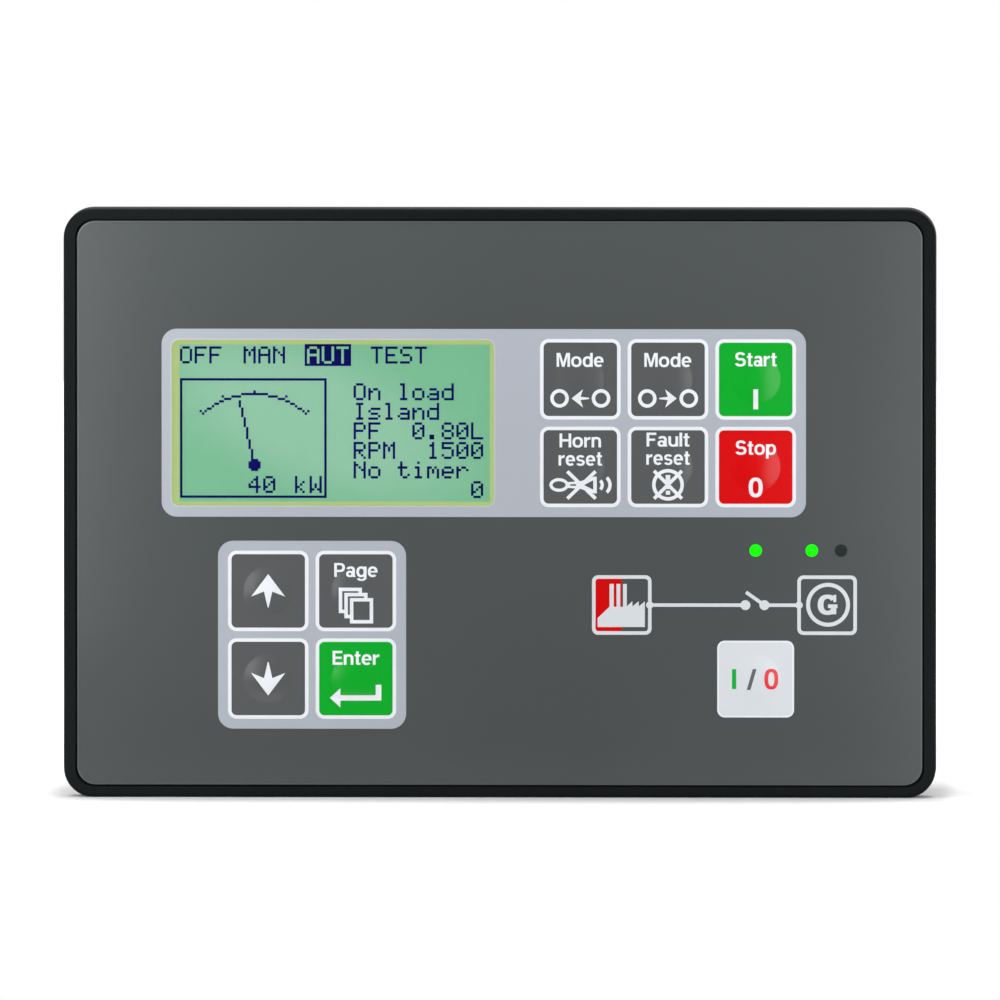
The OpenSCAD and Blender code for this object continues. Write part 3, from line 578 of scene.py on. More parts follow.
def horn_symbol():
    """A bulb horn with sound waves, crossed out."""
    z = -3.83
    bulb = ring((-4.5, z), 2.05, 1.45, 0.66)
    bell = [[(-2.75, z - 0.62), (0, z - 0.8), (2.9, z - 1.78), (3.5, z - 1.78),
             (3.5, z + 1.78), (2.9, z + 1.78), (0, z + 0.8), (-2.75, z + 0.62)],
            [(-2.15, z - 0.15), (-0.9, z - 0.19), (-0.9, z + 0.19), (-2.15, z + 0.15)],
            [(0.8, z), (2.76, z - 1.02), (2.76, z + 1.02)]]
    waves = [[arc_stroke((3.35, z), 1.3, 46, 0.68)], [arc_stroke((4.2, z), 2.1, 48, 0.72)]]
    return [bulb, bell, *waves, *crossed((0.25, z), 3.0, 2.9, SYMBOL_LINE)]


def fault_symbol():
    """A ringed exclamation mark, crossed out."""
    z = -3.76
    mark = [box((0, z + 0.6), 0.98, 3.0)]
    dot = [box((0, z - 1.68), 0.92, 0.84)]
    return [ring((0, z), 3.37, 3.37, SYMBOL_LINE), mark, dot, *crossed((0, z), 2.95, 2.95, SYMBOL_LINE)]


def page_symbol():
    """Three stacked sheets, from the rear one to the front one, as ink and shape."""
    prints, w, h = [], 4.93, 5.43
    for back in (2, 1, 0):
        centre = (1.2 - 1.18 * back, -4.18 + 1.1 * back)
        prints.append(("white", [box(centre, w, h)]))
        prints.append(("key", [box(centre, w - 2 * SYMBOL_LINE, h - 2 * SYMBOL_LINE)]))
    return prints


def return_symbol():
    """The bent arrow of an enter key."""
    z = -4.1
    return [[[(-5.5, z), (-3.3, z - 2.03), (-3.3, z - 0.57), (5.4, z - 0.57), (5.4, z + 2.8),
              (4.2, z + 2.8), (4.2, z + 0.57), (-3.3, z + 0.57), (-3.3, z + 2.03)]]]


def tall_zero(at, w, h, line):
    return [full_oval(at, w / 2, h / 2), full_oval(at, w / 2 - line, h / 2 - ZERO_CAP_SHARE * line)]


def white(shapes):
    return [("white", shape) for shape in shapes]


KEY_PRINT = {
    "up": white([[upright(NAV_ARROW, 1)]]),
    "down": white([[upright(NAV_ARROW, -1)]]),
    "page": white(word("Page", WORD_H, 0, 3.0, 9.2)) + page_symbol(),
    "enter": white([*word("Enter", WORD_H, 0, 2.95, 9.9), *return_symbol()]),
    "mode_left": white([*word("Mode", WORD_H, -0.05, 2.65, 9.95), *mode_symbol(-1)]),
    "mode_right": white([*word("Mode", WORD_H, -0.05, 2.65, 9.95), *mode_symbol(1)]),
    "start": white([*word("Start", WORD_H, 0, 2.8, 8.85), [box((0, -4.2), 1.0, 4.25)]]),
    "horn_reset": white([*word("Horn", WORD_H, 0, 4.15, 8.8), *word("reset", WORD_H, 0, 0.3, 9.2),
                         *horn_symbol()]),
    "fault_reset": white([*word("Fault", WORD_H, 0, 4.35, 9.1), *word("reset", WORD_H, 0, 0.5, 9.2),
                          *fault_symbol()]),
    "stop": white([*word("Stop", WORD_H, 0, 2.65, 8.6), tall_zero((0, -4.3), 2.95, 4.2, 0.85)]),
    "breaker": [("mark_green", [box((-4.57, 0), 0.92, 4.25)]),
                ("mark_grey", [[(-1.9, -2.3), (-1.1, -2.3), (0.2, 2.15), (-0.6, 2.15)]]),
                ("mark_red", tall_zero((3.33, 0), 2.95, 4.4, 0.84))],
}
KEY_BASE = {"enter": "green", "start": "green", "stop": "red", "breaker": "white_key"}


def key_outline(key):
    if key == "breaker":
        return rounded_box(KEY_AT[key], WHITE_KEY_SIZE, WHITE_KEY_SIZE, WHITE_KEY_R)
    return rounded_box(KEY_AT[key], KEY_SIZE, KEY_SIZE, KEY_R)


def key_film(key):
    """The film over one key: a printed square with its pressed dome."""
    at = KEY_AT[key]
    prints = [(ink, placed(shape, at)) for ink, shape in KEY_PRINT[key]]
    if key == "breaker":
        # The breaker's face gets a lighter white rim: a painted highlight on the key's raised edge.
        face = WHITE_KEY_SIZE - 2 * WHITE_KEY_HIGHLIGHT_RIM
        highlight_rim = [key_outline(key), rounded_box(at, face, face, WHITE_KEY_R - WHITE_KEY_HIGHLIGHT_RIM)]
        prints.insert(0, ("white", highlight_rim))
    reaches = [DOME_R * i / DOME_RINGS for i in range(1, DOME_RINGS + 1)]
    rings = [oval(at, reach, reach, DOME_STEPS + DOME_MORE_STEPS * i) for i, reach in enumerate(reaches)]
    base = KEY_BASE.get(key, "key")
    piece = film_piece("film_" + key, key_outline(key), base, prints, rise=dome_over(at), guides=rings)
    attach(piece, HOUSING)
    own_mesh(piece)


# The mimic diagram: a consumer, a breaker and a generator

SIGN_SIZE = 12.65
SIGN_LINE = 0.76
SIGN_R = 1.3
DIAGRAM_Z = -21.6
CONSUMER_AT = (25.9, DIAGRAM_Z)
GENERATOR_AT = (69.45, DIAGRAM_Z)
BREAKER_DOTS = (52.12, 56.15)
BREAKER_DOT_R = 1.06
WIRE_LINE = 0.74
ARM_END = (52.25, -18.85)
WIRE_DOT_R = 0.78
GENERATOR_RING_R = 4.66
GENERATOR_RING_LINE = 0.84
GENERATOR_LETTER = 4.2


def sign_frame(at):
    opening = SIGN_SIZE - 2 * SIGN_LINE
    return [rounded_box(at, SIGN_SIZE, SIGN_SIZE, SIGN_R),
            rounded_box(at, opening, opening, SIGN_R - SIGN_LINE + 0.1)]


def works_shape():
    """A works building with three chimneys and a saw-tooth roof."""
    foot, eaves, roof, top = -4.68, -2.78, -0.38, 4.47
    points = [(4.91, foot), (4.91, 0.8)]
    for right in (3.6, 2.25):
        points += [(right + 0.02, -0.3), (right, 0.8)]
    points += [(1.07, -0.3)]
    for right, left in ((1.07, 0.27), (-0.32, -1.12), (-1.71, -2.59)):
        points += [(right, roof), (right, top), (left, top), (left, roof)]
    points += [(-5.12, eaves), (-5.12, foot)]
    return [points]


def diagram_prints():
    """The red half of the consumer's sign, then the signs, the wires, the breaker's arm and the dots."""
    reach = SIGN_SIZE / 2 - SIGN_LINE / 2
    red_half = [box((CONSUMER_AT[0] - reach / 2, DIAGRAM_Z), reach, 2 * reach)]
    left_edge, right_edge = CONSUMER_AT[0] + reach, GENERATOR_AT[0] - reach
    first, second = BREAKER_DOTS
    shapes = [
        sign_frame(CONSUMER_AT), sign_frame(GENERATOR_AT),
        placed(works_shape(), CONSUMER_AT),
        ring((GENERATOR_AT[0] + 0.2, DIAGRAM_Z + 0.1), GENERATOR_RING_R, GENERATOR_RING_R,
             GENERATOR_RING_LINE),
        *word("G", GENERATOR_LETTER, GENERATOR_AT[0] + 0.1, DIAGRAM_Z - 2.0, GENERATOR_LETTER),
        [bar((left_edge, DIAGRAM_Z), (first, DIAGRAM_Z), WIRE_LINE)],
        [bar((second, DIAGRAM_Z), (right_edge, DIAGRAM_Z), WIRE_LINE)],
        [bar((second, DIAGRAM_Z), ARM_END, WIRE_LINE)],
    ]
    for r, steps, dots in ((BREAKER_DOT_R, 32, BREAKER_DOTS), (WIRE_DOT_R, 28, (left_edge, right_edge))):
        shapes += [[oval((x, DIAGRAM_Z), r, r, steps)] for x in dots]
    return [("sign_red", red_half)] + [("diagram", shape) for shape in shapes]


def field_prints():
    """The light fields behind the keys and the window, and the white lines around the keys."""
    half = KEY_BORDER / 2 + FIELD_MARGIN
    nav = np.array([KEY_AT[key] for key in NAV_KEYS])
    control = np.array([KEY_AT[key] for key in CONTROL_KEYS])
    fields = [(nav.min(axis=0) - half, nav.max(axis=0) + half)]
    low, high = control.min(axis=0) - half, control.max(axis=0) + half
    fields.append((np.array([WINDOW_AT[0] - WINDOW_W / 2 - FIELD_MARGIN, low[1]]), high))
    prints = [("light", [rounded_box((low + high) / 2, *(high - low), FIELD_R)])
              for low, high in fields]
    return prints + white([[rounded_box(KEY_AT[key], KEY_BORDER, KEY_BORDER, KEY_R + KEY_LINE)]
                           for key in NAV_KEYS + CONTROL_KEYS])


def film_sheet():
    """The whole film around its keys, window and light holes."""
    w, h = FILM_W - 2 * FILM_TRIM, FILM_H - 2 * FILM_TRIM
    outline = rounded_box((0, 0), w, h, FILM_R)
    inset = rounded_box((0, 0), w - 2 * FILM_CHAMFER, h - 2 * FILM_CHAMFER, FILM_R - FILM_CHAMFER)
    holes = [key_outline(key) for key in KEYS]
    holes.append(rounded_box(WINDOW_AT, WINDOW_W, WINDOW_H, WINDOW_R))
    holes += [oval(LIGHT_AT[light], LIGHT_HOLE_R, LIGHT_HOLE_R, steps=32) for light in LIGHTS]
    # Around the window a lighter ring is printed as a painted highlight on the cut edge.
    window_edge_highlight = rounded_box(WINDOW_AT, WINDOW_W + 2 * WINDOW_HIGHLIGHT_WIDTH, WINDOW_H + 2 * WINDOW_HIGHLIGHT_WIDTH,
                              WINDOW_R + WINDOW_HIGHLIGHT_WIDTH)
    # The lighter ring on the film's chamfer is a painted highlight on its cut edge.
    prints = [("film_edge_highlight", [outline, inset]), *field_prints(), ("window_edge_highlight", [window_edge_highlight]),
              *diagram_prints()]
    piece = film_piece("film_sheet", outline, "film", prints, holes=holes, edge=FILM_CHAMFER_DROP)
    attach(piece, HOUSING)
    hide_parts("front_overlay", "ink_light_grey", "ink_white", "ink_green", "ink_red")


# The display: dark dots in front of a lit green field

LETTERS = {
    "A": ".###. #...# #...# ##### #...# #...# #...#", "E": "##### #.... #.... ####. #.... #.... #####",
    "F": "##### #.... #.... ####. #.... #.... #....", "I": ".###. ..#.. ..#.. ..#.. ..#.. ..#.. .###.",
    "L": "#.... #.... #.... #.... #.... #.... #####",
    "M": "#...# ##.## #.#.# #.#.# #...# #...# #...#", "N": "#...# ##..# #.#.# #..## #...# #...# #...#",
    "O": ".###. #...# #...# #...# #...# #...# .###.", "P": "####. #...# #...# ####. #.... #.... #....",
    "R": "####. #...# #...# ####. #.#.. #..#. #...#", "S": ".#### #.... #.... .###. ....# ....# ####.",
    "T": "##### ..#.. ..#.. ..#.. ..#.. ..#.. ..#..", "U": "#...# #...# #...# #...# #...# #...# .###.",
    "W": "#...# #...# #...# #.#.# #.#.# ##.## #...#", "a": "..... ..... .###. ....# .#### #...# .####",
    "d": "....# ....# .#### #...# #...# #...# .####", "e": "..... ..... .###. #...# ##### #.... .###.",
    "i": "..#.. ..... .##.. ..#.. ..#.. ..#.. .###.", "k": "#.... #.... #..#. #.#.. ##... #.#.. #..#.",
    "l": ".##.. ..#.. ..#.. ..#.. ..#.. ..#.. .###.", "m": "..... ..... ##.#. #.#.# #.#.# #...# #...#",
    "n": "..... ..... #.##. ##..# #...# #...# #...#", "o": "..... ..... .###. #...# #...# #...# .###.",
    "r": "..... ..... #.##. ##..# #.... #.... #....", "s": "..... ..... .#### #.... .###. ....# ####.",
    "t": ".#... .#... ####. .#... .#... .#..# ..##.", "0": ".###. #...# #..## #.#.# ##..# #...# .###.",
    "1": "..#.. .##.. ..#.. ..#.. ..#.. ..#.. .###.", "4": "...#. ..##. .#.#. #..#. ##### ...#. ...#.",
    "5": "##### #.... ####. ....# ....# #...# .###.", "8": ".###. #...# #...# .###. #...# #...# .###.",
    ".": "..... ..... ..... ..... ..... .##.. .##..", " ": "..... ..... ..... ..... ..... ..... .....",
}
ROW_STEP = 8
MODES = ("OFF", "MAN", "AUT", "TEST")
MODE_STEP = 26
CHOSEN_MODE = 2
STATE_ROWS = ("On load", "Island", "PF  0.80L", "RPM  1500", "No timer", "        0")
STATE_LEFT = 72
STATE_TOP = 16
GAUGE_BOX = (1, 14, 60, 62)
GAUGE_ARC = (31, 51.6, 31.6)
GAUGE_REACH = 21
GAUGE_TICKS = (-41.8, -23, 0, 23, 41.8)
TICK_OUT = 1.4
GAUGE_HUB = (31, 49)
HUB_REACH = 2
HUB_ROUND = 6
NEEDLE_TIP = (25, 23)
READING, READING_AT = "40", (29, 54)
UNIT, UNIT_AT = "kW", (48, 54)


def dots_of(text, left, top):
    """The dots of a word, from its upper left dot."""
    return {(left + LETTER_STEP * i + col, top + row)
            for i, letter in enumerate(text)
            for row, line in enumerate(LETTERS[letter].split())
            for col, mark in enumerate(line) if mark == "#"}


def dot_line(start, end):
    (x0, y0), (x1, y1) = start, end
    steps = max(abs(x1 - x0), abs(y1 - y0))
    return {(round(x0 + (x1 - x0) * i / steps), round(y0 + (y1 - y0) * i / steps))
            for i in range(steps + 1)}


def gauge_dots():
    """A boxed gauge with its scale, needle, hub and reading."""
    left, top, right, bottom = GAUGE_BOX
    corners = [(left, top), (right, top), (right, bottom), (left, bottom)]
    dots = set()
    for a, b in zip(corners, corners[1:] + corners[:1]):
        dots |= dot_line(a, b)
    cx, cy, r = GAUGE_ARC
    across = range(-GAUGE_REACH, GAUGE_REACH + 1)
    dots |= {(cx + i, round(cy - math.sqrt(r * r - i * i))) for i in across}
    out = r + TICK_OUT
    for angle in map(math.radians, GAUGE_TICKS):
        dots.add((round(cx + out * math.sin(angle)), round(cy - out * math.cos(angle))))
    hx, hy = GAUGE_HUB
    hub = range(-HUB_REACH, HUB_REACH + 1)
    dots |= {(hx + i, hy + j) for i in hub for j in hub if i * i + j * j < HUB_ROUND}
    dots |= dot_line(GAUGE_HUB, NEEDLE_TIP)
    return dots | dots_of(READING, *READING_AT) | dots_of(UNIT, *UNIT_AT)


def display_dots():
    """All dark dots of the page: modes along the top, the gauge and the rows of states."""
    dots = gauge_dots()
    for i, mode in enumerate(MODES):
        left = MODE_STEP * i
        letters = dots_of(mode, left + 1, 1)
        if i == CHOSEN_MODE:
            width = LETTER_STEP * len(mode) + 1
            plate = {(left + col, row) for col in range(width) for row in range(ROW_STEP + 1)}
            letters = plate - letters
        dots |= letters
    for i, row in enumerate(STATE_ROWS):
        dots |= dots_of(row, STATE_LEFT, STATE_TOP + ROW_STEP * i)
    return sorted(dots)


def blocks(name, places, sizes, material):
    """A block of the sizes given on each place, set there by a node tree and kept as a plain mesh."""
    tree = bpy.data.node_groups.new(name, "GeometryNodeTree")
    tree.interface.new_socket("Points", in_out="INPUT", socket_type="NodeSocketGeometry")
    sockets = {}
    for label, value in sizes.items():
        socket = tree.interface.new_socket(label, in_out="INPUT", socket_type="NodeSocketFloat")
        socket.default_value = value
        sockets[label] = socket.identifier
    tree.interface.new_socket("Faces", in_out="OUTPUT", socket_type="NodeSocketGeometry")
    given, result = tree.nodes.new("NodeGroupInput"), tree.nodes.new("NodeGroupOutput")
    as_points, spread, real, coat, shape = (tree.nodes.new("GeometryNode" + kind) for kind in (
        "MeshToPoints", "InstanceOnPoints", "RealizeInstances", "SetMaterial", "MeshCube"))
    size = tree.nodes.new("ShaderNodeCombineXYZ")
    coat.inputs["Material"].default_value = material
    for label, axis in zip(("Width", "Depth", "Height"), "XYZ"):
        feed(tree, size.inputs[axis], given.outputs[label])
    for socket, source in (
            (shape.inputs["Size"], size.outputs["Vector"]),
            (as_points.inputs["Mesh"], given.outputs["Points"]),
            (spread.inputs["Points"], as_points.outputs["Points"]),
            (spread.inputs["Instance"], shape.outputs["Mesh"]),
            (real.inputs["Geometry"], spread.outputs["Instances"]),
            (coat.inputs["Geometry"], real.outputs["Geometry"]),
            (result.inputs["Faces"], coat.outputs["Geometry"])):
        feed(tree, socket, source)

    points = bpy.data.meshes.new(name)
    points.from_pydata(places, [], [])
    piece = new_piece(name, points)
    modifier = piece.modifiers.new("repeat", "NODES")
    modifier.node_group = tree
    for label, value in sizes.items():
        modifier[sockets[label]] = value
    shown = piece.evaluated_get(bpy.context.evaluated_depsgraph_get())
    mesh = bpy.data.meshes.new_from_object(shown)
    piece.modifiers.clear()
    piece.data = mesh
    bpy.data.meshes.remove(points)
    return piece


def dot_field():
    """The dark dots of the display, a hair in front of its glass."""
    ink = finish("display_ink", (20, 14, 122), (12, 12, 104), rough=(0.4, 0.5), grain=3000, clouds=60,
                 Specular_IOR_Level=0.03)
    left = WINDOW_AT[0] + DOT_FIELD_SHIFT[0] - (DOTS_ACROSS - 1) / 2 * DOT_PITCH
    top = WINDOW_AT[1] + DOT_FIELD_SHIFT[1] + (DOTS_UP - 1) / 2 * DOT_PITCH
    places = [((left + col * DOT_PITCH) * MM, (GLASS_Y - DOT_T) * MM, (top - row * DOT_PITCH) * MM)
              for col, row in display_dots()]
    sizes = {"Width": DOT_SIZE * MM, "Depth": DOT_T * MM, "Height": DOT_SIZE * MM}
    piece = blocks("display_dots", places, sizes, ink)
    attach(piece, HOUSING)


DARK_GLASS = (52, 66, 56)
GLASS_ROUGH = 0.3
LIT_STRENGTH = 0.95
LIT_HALF = (32.9, 16.64)
LIT_SHIFT = (0.29, -0.2)
BAND_SOFT = (-0.15, 0.25)
# A paler patch, turned and fading out, painted into the display's glow as a reflection on its glass.
REFLECTION_AT = (-4.0, 0.8)
REFLECTION_SIZE = (29.7, 12.7)
REFLECTION_TURN = 22
REFLECTION_FADE = (0.5, 1.5)
LIT_CLOUD_SCALE = 26
LIT_CLOUD_SHARE = 0.12
FIELD_GREEN = (119, 188, 147)
REFLECTION_PALE = (145, 198, 167)
FIELD_BAND = (182, 202, 126)


def lit_display():
    """The display's glass: a lit green field with a yellower band around it, and a paler patch in its
    middle that is a painted reflection.
    """
    material, tree, surface = new_material("display_lit")
    surface.inputs["Roughness"].default_value = GLASS_ROUGH
    surface.inputs["Base Color"].default_value = srgb(*DARK_GLASS)
    surface.inputs["Emission Strength"].default_value = LIT_STRENGTH
    where = object_place(tree)
    apart = tree.nodes.new("ShaderNodeSeparateXYZ")
    feed(tree, apart.inputs["Vector"], where)
    bands = []
    for axis, centre, shift, reach in zip("XZ", WINDOW_AT, LIT_SHIFT, LIT_HALF):
        away = step(tree, "SUBTRACT", apart.outputs[axis], (centre + shift) * MM)
        ends = [(reach + soft) * MM for soft in BAND_SOFT]
        bands.append(ramp(tree, step(tree, "ABSOLUTE", away), ends))
    edge = step(tree, "MAXIMUM", *bands)

    # The paler patch in the middle is a painted reflection.
    reflection_patch = tree.nodes.new("ShaderNodeMapping")
    reflection_patch.vector_type = "TEXTURE"
    x, z = ((at + shift) * MM for at, shift in zip(WINDOW_AT, REFLECTION_AT))
    reflection_patch.inputs["Location"].default_value = (x, 0, z)
    reflection_patch.inputs["Rotation"].default_value = (0, math.radians(REFLECTION_TURN), 0)
    reflection_patch.inputs["Scale"].default_value = (REFLECTION_SIZE[0] * MM, 1, REFLECTION_SIZE[1] * MM)
    feed(tree, reflection_patch.inputs["Vector"], where)
    painted_reflection = ramp(tree, vector_step(tree, "LENGTH", reflection_patch.outputs["Vector"]), REFLECTION_FADE, (1, 0))
    run = step(tree, "MULTIPLY_ADD", noise(tree, where, LIT_CLOUD_SCALE), LIT_CLOUD_SHARE, painted_reflection)
    field = mixed(tree, "RGBA", run, srgb(*FIELD_GREEN), srgb(*REFLECTION_PALE))
    feed(tree, surface.inputs["Emission Color"], mixed(tree, "RGBA", edge, field, srgb(*FIELD_BAND)))
    return material


# Rear side: wire cages in the plugs and the terminals' numbers

TERMINAL_PITCH = 5.08
PLUG_END = 0.8
WIRE_DROP = 1.2
CAGE_W = 3.0
CAGE_DEPTH = 3.2
CAGE_T = 0.5
CAGE_INSET = 2.6
CAGE_LIFT = 1.35
NUMBER_H = 2.0
NUMBER_Z = 30.2
NUMBER_T = 0.05


def terminal_places():
    """Name, centre and the places across of each block's terminals."""
    for name in TERMINALS:
        cx, cz = middle("terminal_header_" + name)
        count = round((extent("terminal_plug_" + name)[0] - 2 * PLUG_END) / TERMINAL_PITCH)
        yield name, (cx, cz), [cx + (i - (count - 1) / 2) * TERMINAL_PITCH for i in range(count)]


def wire_cages():
    """The bright clamp plates that show inside the wire entries."""
    steel = finish("cage_steel", (196, 198, 200), (168, 170, 172), rough=(0.22, 0.36), grain=1600,
                   clouds=200, Metallic=1.0)
    places = []
    for name, (_, cz), row in terminal_places():
        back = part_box("terminal_plug_" + name)[1].y
        entry = cz - math.copysign(WIRE_DROP, cz)
        places += [(x * MM, back - CAGE_INSET * MM, (entry + lift) * MM)
                   for x in row for lift in (-CAGE_LIFT, CAGE_LIFT)]
    sizes = {"Width": CAGE_W * MM, "Depth": CAGE_DEPTH * MM, "Height": CAGE_T * MM}
    piece = blocks("wire_cages", places, sizes, steel)
    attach(piece, HOUSING)


def read_order(terminal):
    """The upper row first, then the lower one, each from the left as seen from behind."""
    _, (cx, cz), _ = terminal
    return (cz < 0, -cx)


def terminal_numbers():
    """Plain numbers on the rear face, beside the terminals."""
    shapes, number = [], 0
    for _, (_, cz), row in sorted(terminal_places(), key=read_order):
        foot = math.copysign(NUMBER_Z, cz) - NUMBER_H / 2
        for x in sorted(row, reverse=True):
            number += 1
            shapes += [placed(shape, (x, 0), -1) for shape in word(str(number), NUMBER_H, 0, foot)]
    flat, faces, centre, _ = filled([loop for shape in shapes for loop in shape])
    inked = np.any([inside(centre, shape) for shape in shapes], axis=0)
    front = np.full(len(flat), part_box("rear_cover")[1].y / MM)
    piece = sheet("terminal_numbers", flat, faces[inked], front, front + NUMBER_T, [INK["white"]])
    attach(piece, HOUSING)


# Materials of the CAD nodes, by the record's slots: light tone, dark tone and settings

MOULDED = dict(rough=(0.4, 0.55))
BARE_METAL = dict(rough=(0.25, 0.4), Metallic=1.0)
TONES = {
    "housing_black": ((19, 23, 24), (14, 18, 18), dict(
        rough=(0.5, 0.66), grain=5200, clouds=25, share=0.35, relief=0.02, Specular_IOR_Level=0.09)),
    "cover_black": ((38, 40, 41), (28, 30, 31), dict(
        rough=(0.5, 0.68), grain=2600, clouds=25, share=0.3, relief=0.05)),
    "window_clear": ((250, 253, 251), (246, 250, 248), dict(
        rough=(0.02, 0.05), grain=400, clouds=20, Transmission_Weight=1.0, IOR=1.2)),
    "gasket_rubber": ((46, 46, 46), (34, 34, 34), dict(rough=(0.7, 0.9), grain=1800, relief=0.06)),
    "display_frame": ((52, 56, 60), (40, 43, 47), dict(MOULDED, relief=0.01)),
    "display_backlight": ((206, 222, 150), (188, 206, 132), dict(rough=(0.5, 0.6))),
    "key_plastic": ((214, 214, 208), (200, 200, 194), dict(MOULDED, relief=0.01)),
    "switch_black": ((44, 46, 48), (34, 36, 38), MOULDED),
    "led_white": ((236, 234, 214), (222, 220, 200), dict(rough=(0.2, 0.3))),
    "board_green": ((34, 96, 58), (22, 74, 42), dict(rough=(0.25, 0.4), grain=900, clouds=120)),
    "connector_black": ((34, 34, 36), (26, 26, 28), MOULDED),
    "chip_black": ((38, 40, 42), (30, 32, 34), dict(rough=(0.5, 0.6), relief=0.02)),
    "capacitor_can": ((188, 190, 192), (160, 163, 167), BARE_METAL),
    "battery_steel": ((206, 207, 208), (184, 186, 188), BARE_METAL),
    "terminal_header": ((52, 128, 78), (42, 112, 66), dict(MOULDED, relief=0.02)),
    "terminal_green": ((62, 152, 92), (50, 134, 78), dict(
        rough=(0.38, 0.52), grain=3600, clouds=60, relief=0.02)),
    "screw_steel": ((196, 198, 200), (162, 165, 168), dict(
        rough=(0.2, 0.38), grain=1800, clouds=300, Metallic=1.0)),
}


def light_guides():
    """The finish of a light guide with its light off, and of one with its light on."""
    off = finish("light_dark", (42, 47, 48), (34, 39, 40), rough=(0.12, 0.2), grain=2500, clouds=400,
                 Specular_IOR_Level=0.25)
    on = finish("light_green", (12, 130, 6), (6, 110, 2), rough=(0.2, 0.3), grain=2500, clouds=400,
                Specular_IOR_Level=0.15, Emission_Color=srgb(20, 254, 2), Emission_Strength=0.85)
    return off, on


def dress_frame():
    """Gives each CAD node the finish of its slot."""
    coats = {slot: finish(slot, light, dark, **more) for slot, (light, dark, more) in TONES.items()}
    coats.update(film_grey=INK["film"], ink_light_grey=INK["light"], ink_white=INK["white"],
                 ink_green=INK["green"], ink_red=INK["red"], display_glass=lit_display())
    coats["light_guide_clear"], lit = light_guides()
    lit_nodes = ["light_guide_" + light for light in LIT]
    for part in frame["record"]["subparts"]:
        materials = frame["nodes"][part["node"]].data.materials
        materials.clear()
        materials.append(lit if part["node"] in lit_nodes else coats[part["material_slot"]])


# Stage: floor, background, lamps and camera

AMBIENT_LEVELS = (0.27, 0.8)
ROOM_LEVELS = (0.08, 1)
ROOM_ENDS = (-0.5, 0.8)
# The floor's glow drops next to the part, less far at its sides: painted contact shade on top of the
# lamps' real shadow.
CONTACT_SHADE_GLOW = 0.02
FLOOR_GLOW = 0.3
PAINTED_SHADE_REACH = 0.028
GLOW_FAR = 0.4
PAINTED_SHADE_ASIDE = 5
FLOOR_TONE = 0.82
FLOOR_ROUGH = 0.9
FLOOR_FRONT = 0.08
FLOOR_BACK = 2.0
FLOOR_SIDE = 1.4


def show_instead(tree, plain, shown, output):
    """Lets rays from the camera, in a reflection or through glass see another shader."""
    path = tree.nodes.new("ShaderNodeLightPath")
    rays = step(tree, "MAXIMUM", path.outputs["Is Camera Ray"], path.outputs["Is Glossy Ray"])
    rays = step(tree, "MAXIMUM", rays, path.outputs["Is Transmission Ray"])
    mix = tree.nodes.new("ShaderNodeMixShader")
    for socket, value in zip(mix.inputs, (rays, plain.outputs[0], shown.outputs[0])):
        feed(tree, socket, value)
    feed(tree, output.inputs["Surface"], mix.outputs[0])


def studio_world():
    """White to the camera, a dim room before the part in its reflections, soft light all round."""
    world = bpy.data.worlds.new("studio")
    bpy.context.scene.world = world
    world.use_nodes = True
    tree = world.node_tree
    apart = tree.nodes.new("ShaderNodeSeparateXYZ")
    feed(tree, apart.inputs["Vector"], tree.nodes.new("ShaderNodeTexCoord").outputs["Generated"])
    ambient, seen = tree.nodes["Background"], tree.nodes.new("ShaderNodeBackground")
    for light in (ambient, seen):
        light.inputs["Color"].default_value = (1, 1, 1, 1)
    feed(tree, ambient.inputs["Strength"], ramp(tree, apart.outputs["Y"], ROOM_ENDS, AMBIENT_LEVELS))
    room = ramp(tree, apart.outputs["Y"], ROOM_ENDS, ROOM_LEVELS)
    camera = tree.nodes.new("ShaderNodeLightPath").outputs["Is Camera Ray"]
    feed(tree, seen.inputs["Strength"], step(tree, "MAXIMUM", camera, room))
    show_instead(tree, ambient, seen, tree.nodes["World Output"])


def pale_floor():
    """A pale floor, mostly beside and behind the part, that shows white and keeps the lamps' real
    shadow, deepened next to the part by painted shade where its glow drops.
    """
    mesh = bpy.data.meshes.new("floor")
    z = cad_low.z
    mesh.from_pydata([(-FLOOR_SIDE, -FLOOR_FRONT, z), (FLOOR_SIDE, -FLOOR_FRONT, z),
                      (FLOOR_SIDE, FLOOR_BACK, z), (-FLOOR_SIDE, FLOOR_BACK, z)], [], [(0, 1, 2, 3)])
    floor = new_piece("floor", mesh)
    material, tree, plain = new_material("floor_white")
    plain.inputs["Base Color"].default_value = (FLOOR_TONE, FLOOR_TONE, FLOOR_TONE, 1)
    plain.inputs["Roughness"].default_value = FLOOR_ROUGH
    plain.inputs["Specular IOR Level"].default_value = 0
    away = vector_step(tree, "SUBTRACT", object_place(tree), (cad_low + cad_high) / 2)
    away = vector_step(tree, "SUBTRACT", vector_step(tree, "ABSOLUTE", away), (cad_high - cad_low) / 2)
    away = vector_step(tree, "MAXIMUM", away, (0, 0, 0))
    away = vector_step(tree, "LENGTH", vector_step(tree, "MULTIPLY", away, (PAINTED_SHADE_ASIDE, 1, 1)))
    # Weakest glow next to the part: painted contact shade.
    painted_contact_shade = ramp(tree, away, (0, PAINTED_SHADE_REACH), (CONTACT_SHADE_GLOW, FLOOR_GLOW))
    far = ramp(tree, away, (PAINTED_SHADE_REACH, GLOW_FAR))
    glow = tree.nodes.new("ShaderNodeEmission")
    feed(tree, glow.inputs["Strength"], step(tree, "MAXIMUM", painted_contact_shade, far))
    both = tree.nodes.new("ShaderNodeAddShader")
    for socket, shader in zip(both.inputs, (plain, glow)):
        feed(tree, socket, shader.outputs[0])
    show_instead(tree, plain, both, tree.nodes["Material Output"])
    mesh.materials.append(material)


AHEAD = (0, 1, 0)
DOWN = (0, 0, -1)
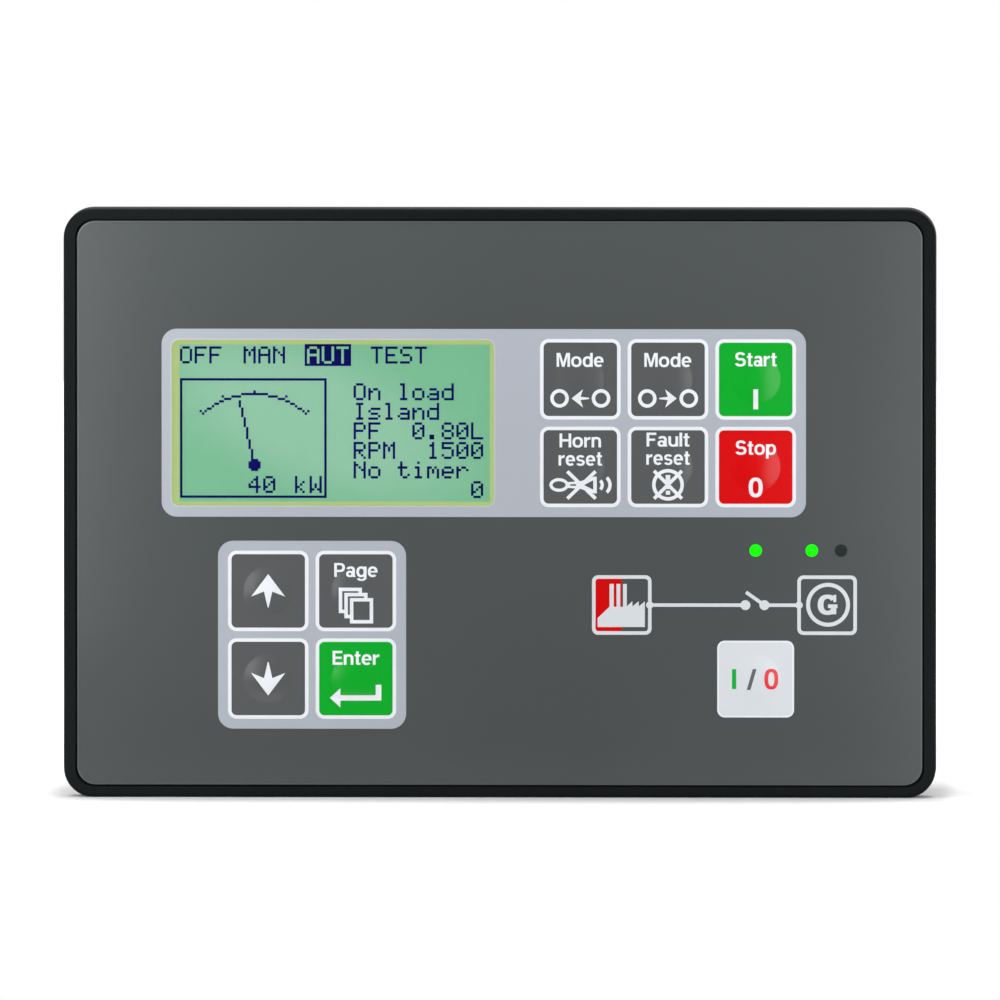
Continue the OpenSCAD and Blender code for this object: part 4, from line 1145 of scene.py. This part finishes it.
# Each by name, place, aim, width, height and watts
SOFTBOXES = (
    ("left_softbox", (-0.205, -0.20, 0.085), AHEAD, 0.22, 0.25, 0.60),
    ("right_softbox", (0.19, -0.20, 0.015), AHEAD, 0.20, 0.17, 0.33),
    ("front_softbox", (0.0, -0.24, 0.32), (0, 0.6, -0.8), 0.34, 0.12, 0.16),
    ("upper_softbox", (0.0, -0.07, 0.125), (0, 0.7, -0.7), 0.26, 0.03, 0.062),
    ("top_softbox", (0.0, 0.24, 0.90), DOWN, 0.9, 0.3, 6.5),
)
NOT_REFLECTED = ("upper_softbox",)


def studio_lamps():
    for name, place, aim, width, height, watts in SOFTBOXES:
        lamp = bpy.data.lights.new(name, "AREA")
        lamp.shape = "RECTANGLE"
        lamp.size, lamp.size_y, lamp.energy = width, height, watts
        holder = new_piece(name, lamp)
        holder.location = place
        holder.rotation_euler = Vector(aim).to_track_quat("-Z", "Y").to_euler()
        holder.visible_glossy = name not in NOT_REFLECTED


def photo_camera():
    """A long lens on the film's centre, from a little above and to the right, at the photo's scale."""
    lens = bpy.data.cameras.new("photo_camera")
    lens.sensor_width = SENSOR
    lens.lens = SENSOR * VIEW_DISTANCE * PX_PER_MM / IMAGE_PX
    lens.shift_x = (IMAGE_PX / 2 - FILM_CENTRE_PX[0]) / IMAGE_PX
    lens.shift_y = (FILM_CENTRE_PX[1] - IMAGE_PX / 2) / IMAGE_PX
    lift, turn = math.radians(VIEW_LIFT), math.radians(VIEW_TURN)
    away = Vector((math.cos(lift) * math.sin(turn), -math.cos(lift) * math.cos(turn), math.sin(lift)))
    camera = new_piece("photo_camera", lens)
    camera.location = Vector((0, FILM_Y, 0)) * MM + away * VIEW_DISTANCE * MM
    camera.rotation_euler = (-away).to_track_quat("-Z", "Y").to_euler()
    bpy.context.scene.camera = camera


dress_frame()
film_sheet()
for key in KEYS:
    key_film(key)
dot_field()
wire_cages()
terminal_numbers()

studio_world()
pale_floor()
studio_lamps()
photo_camera()
bpy.context.scene.view_settings.view_transform = "Standard"
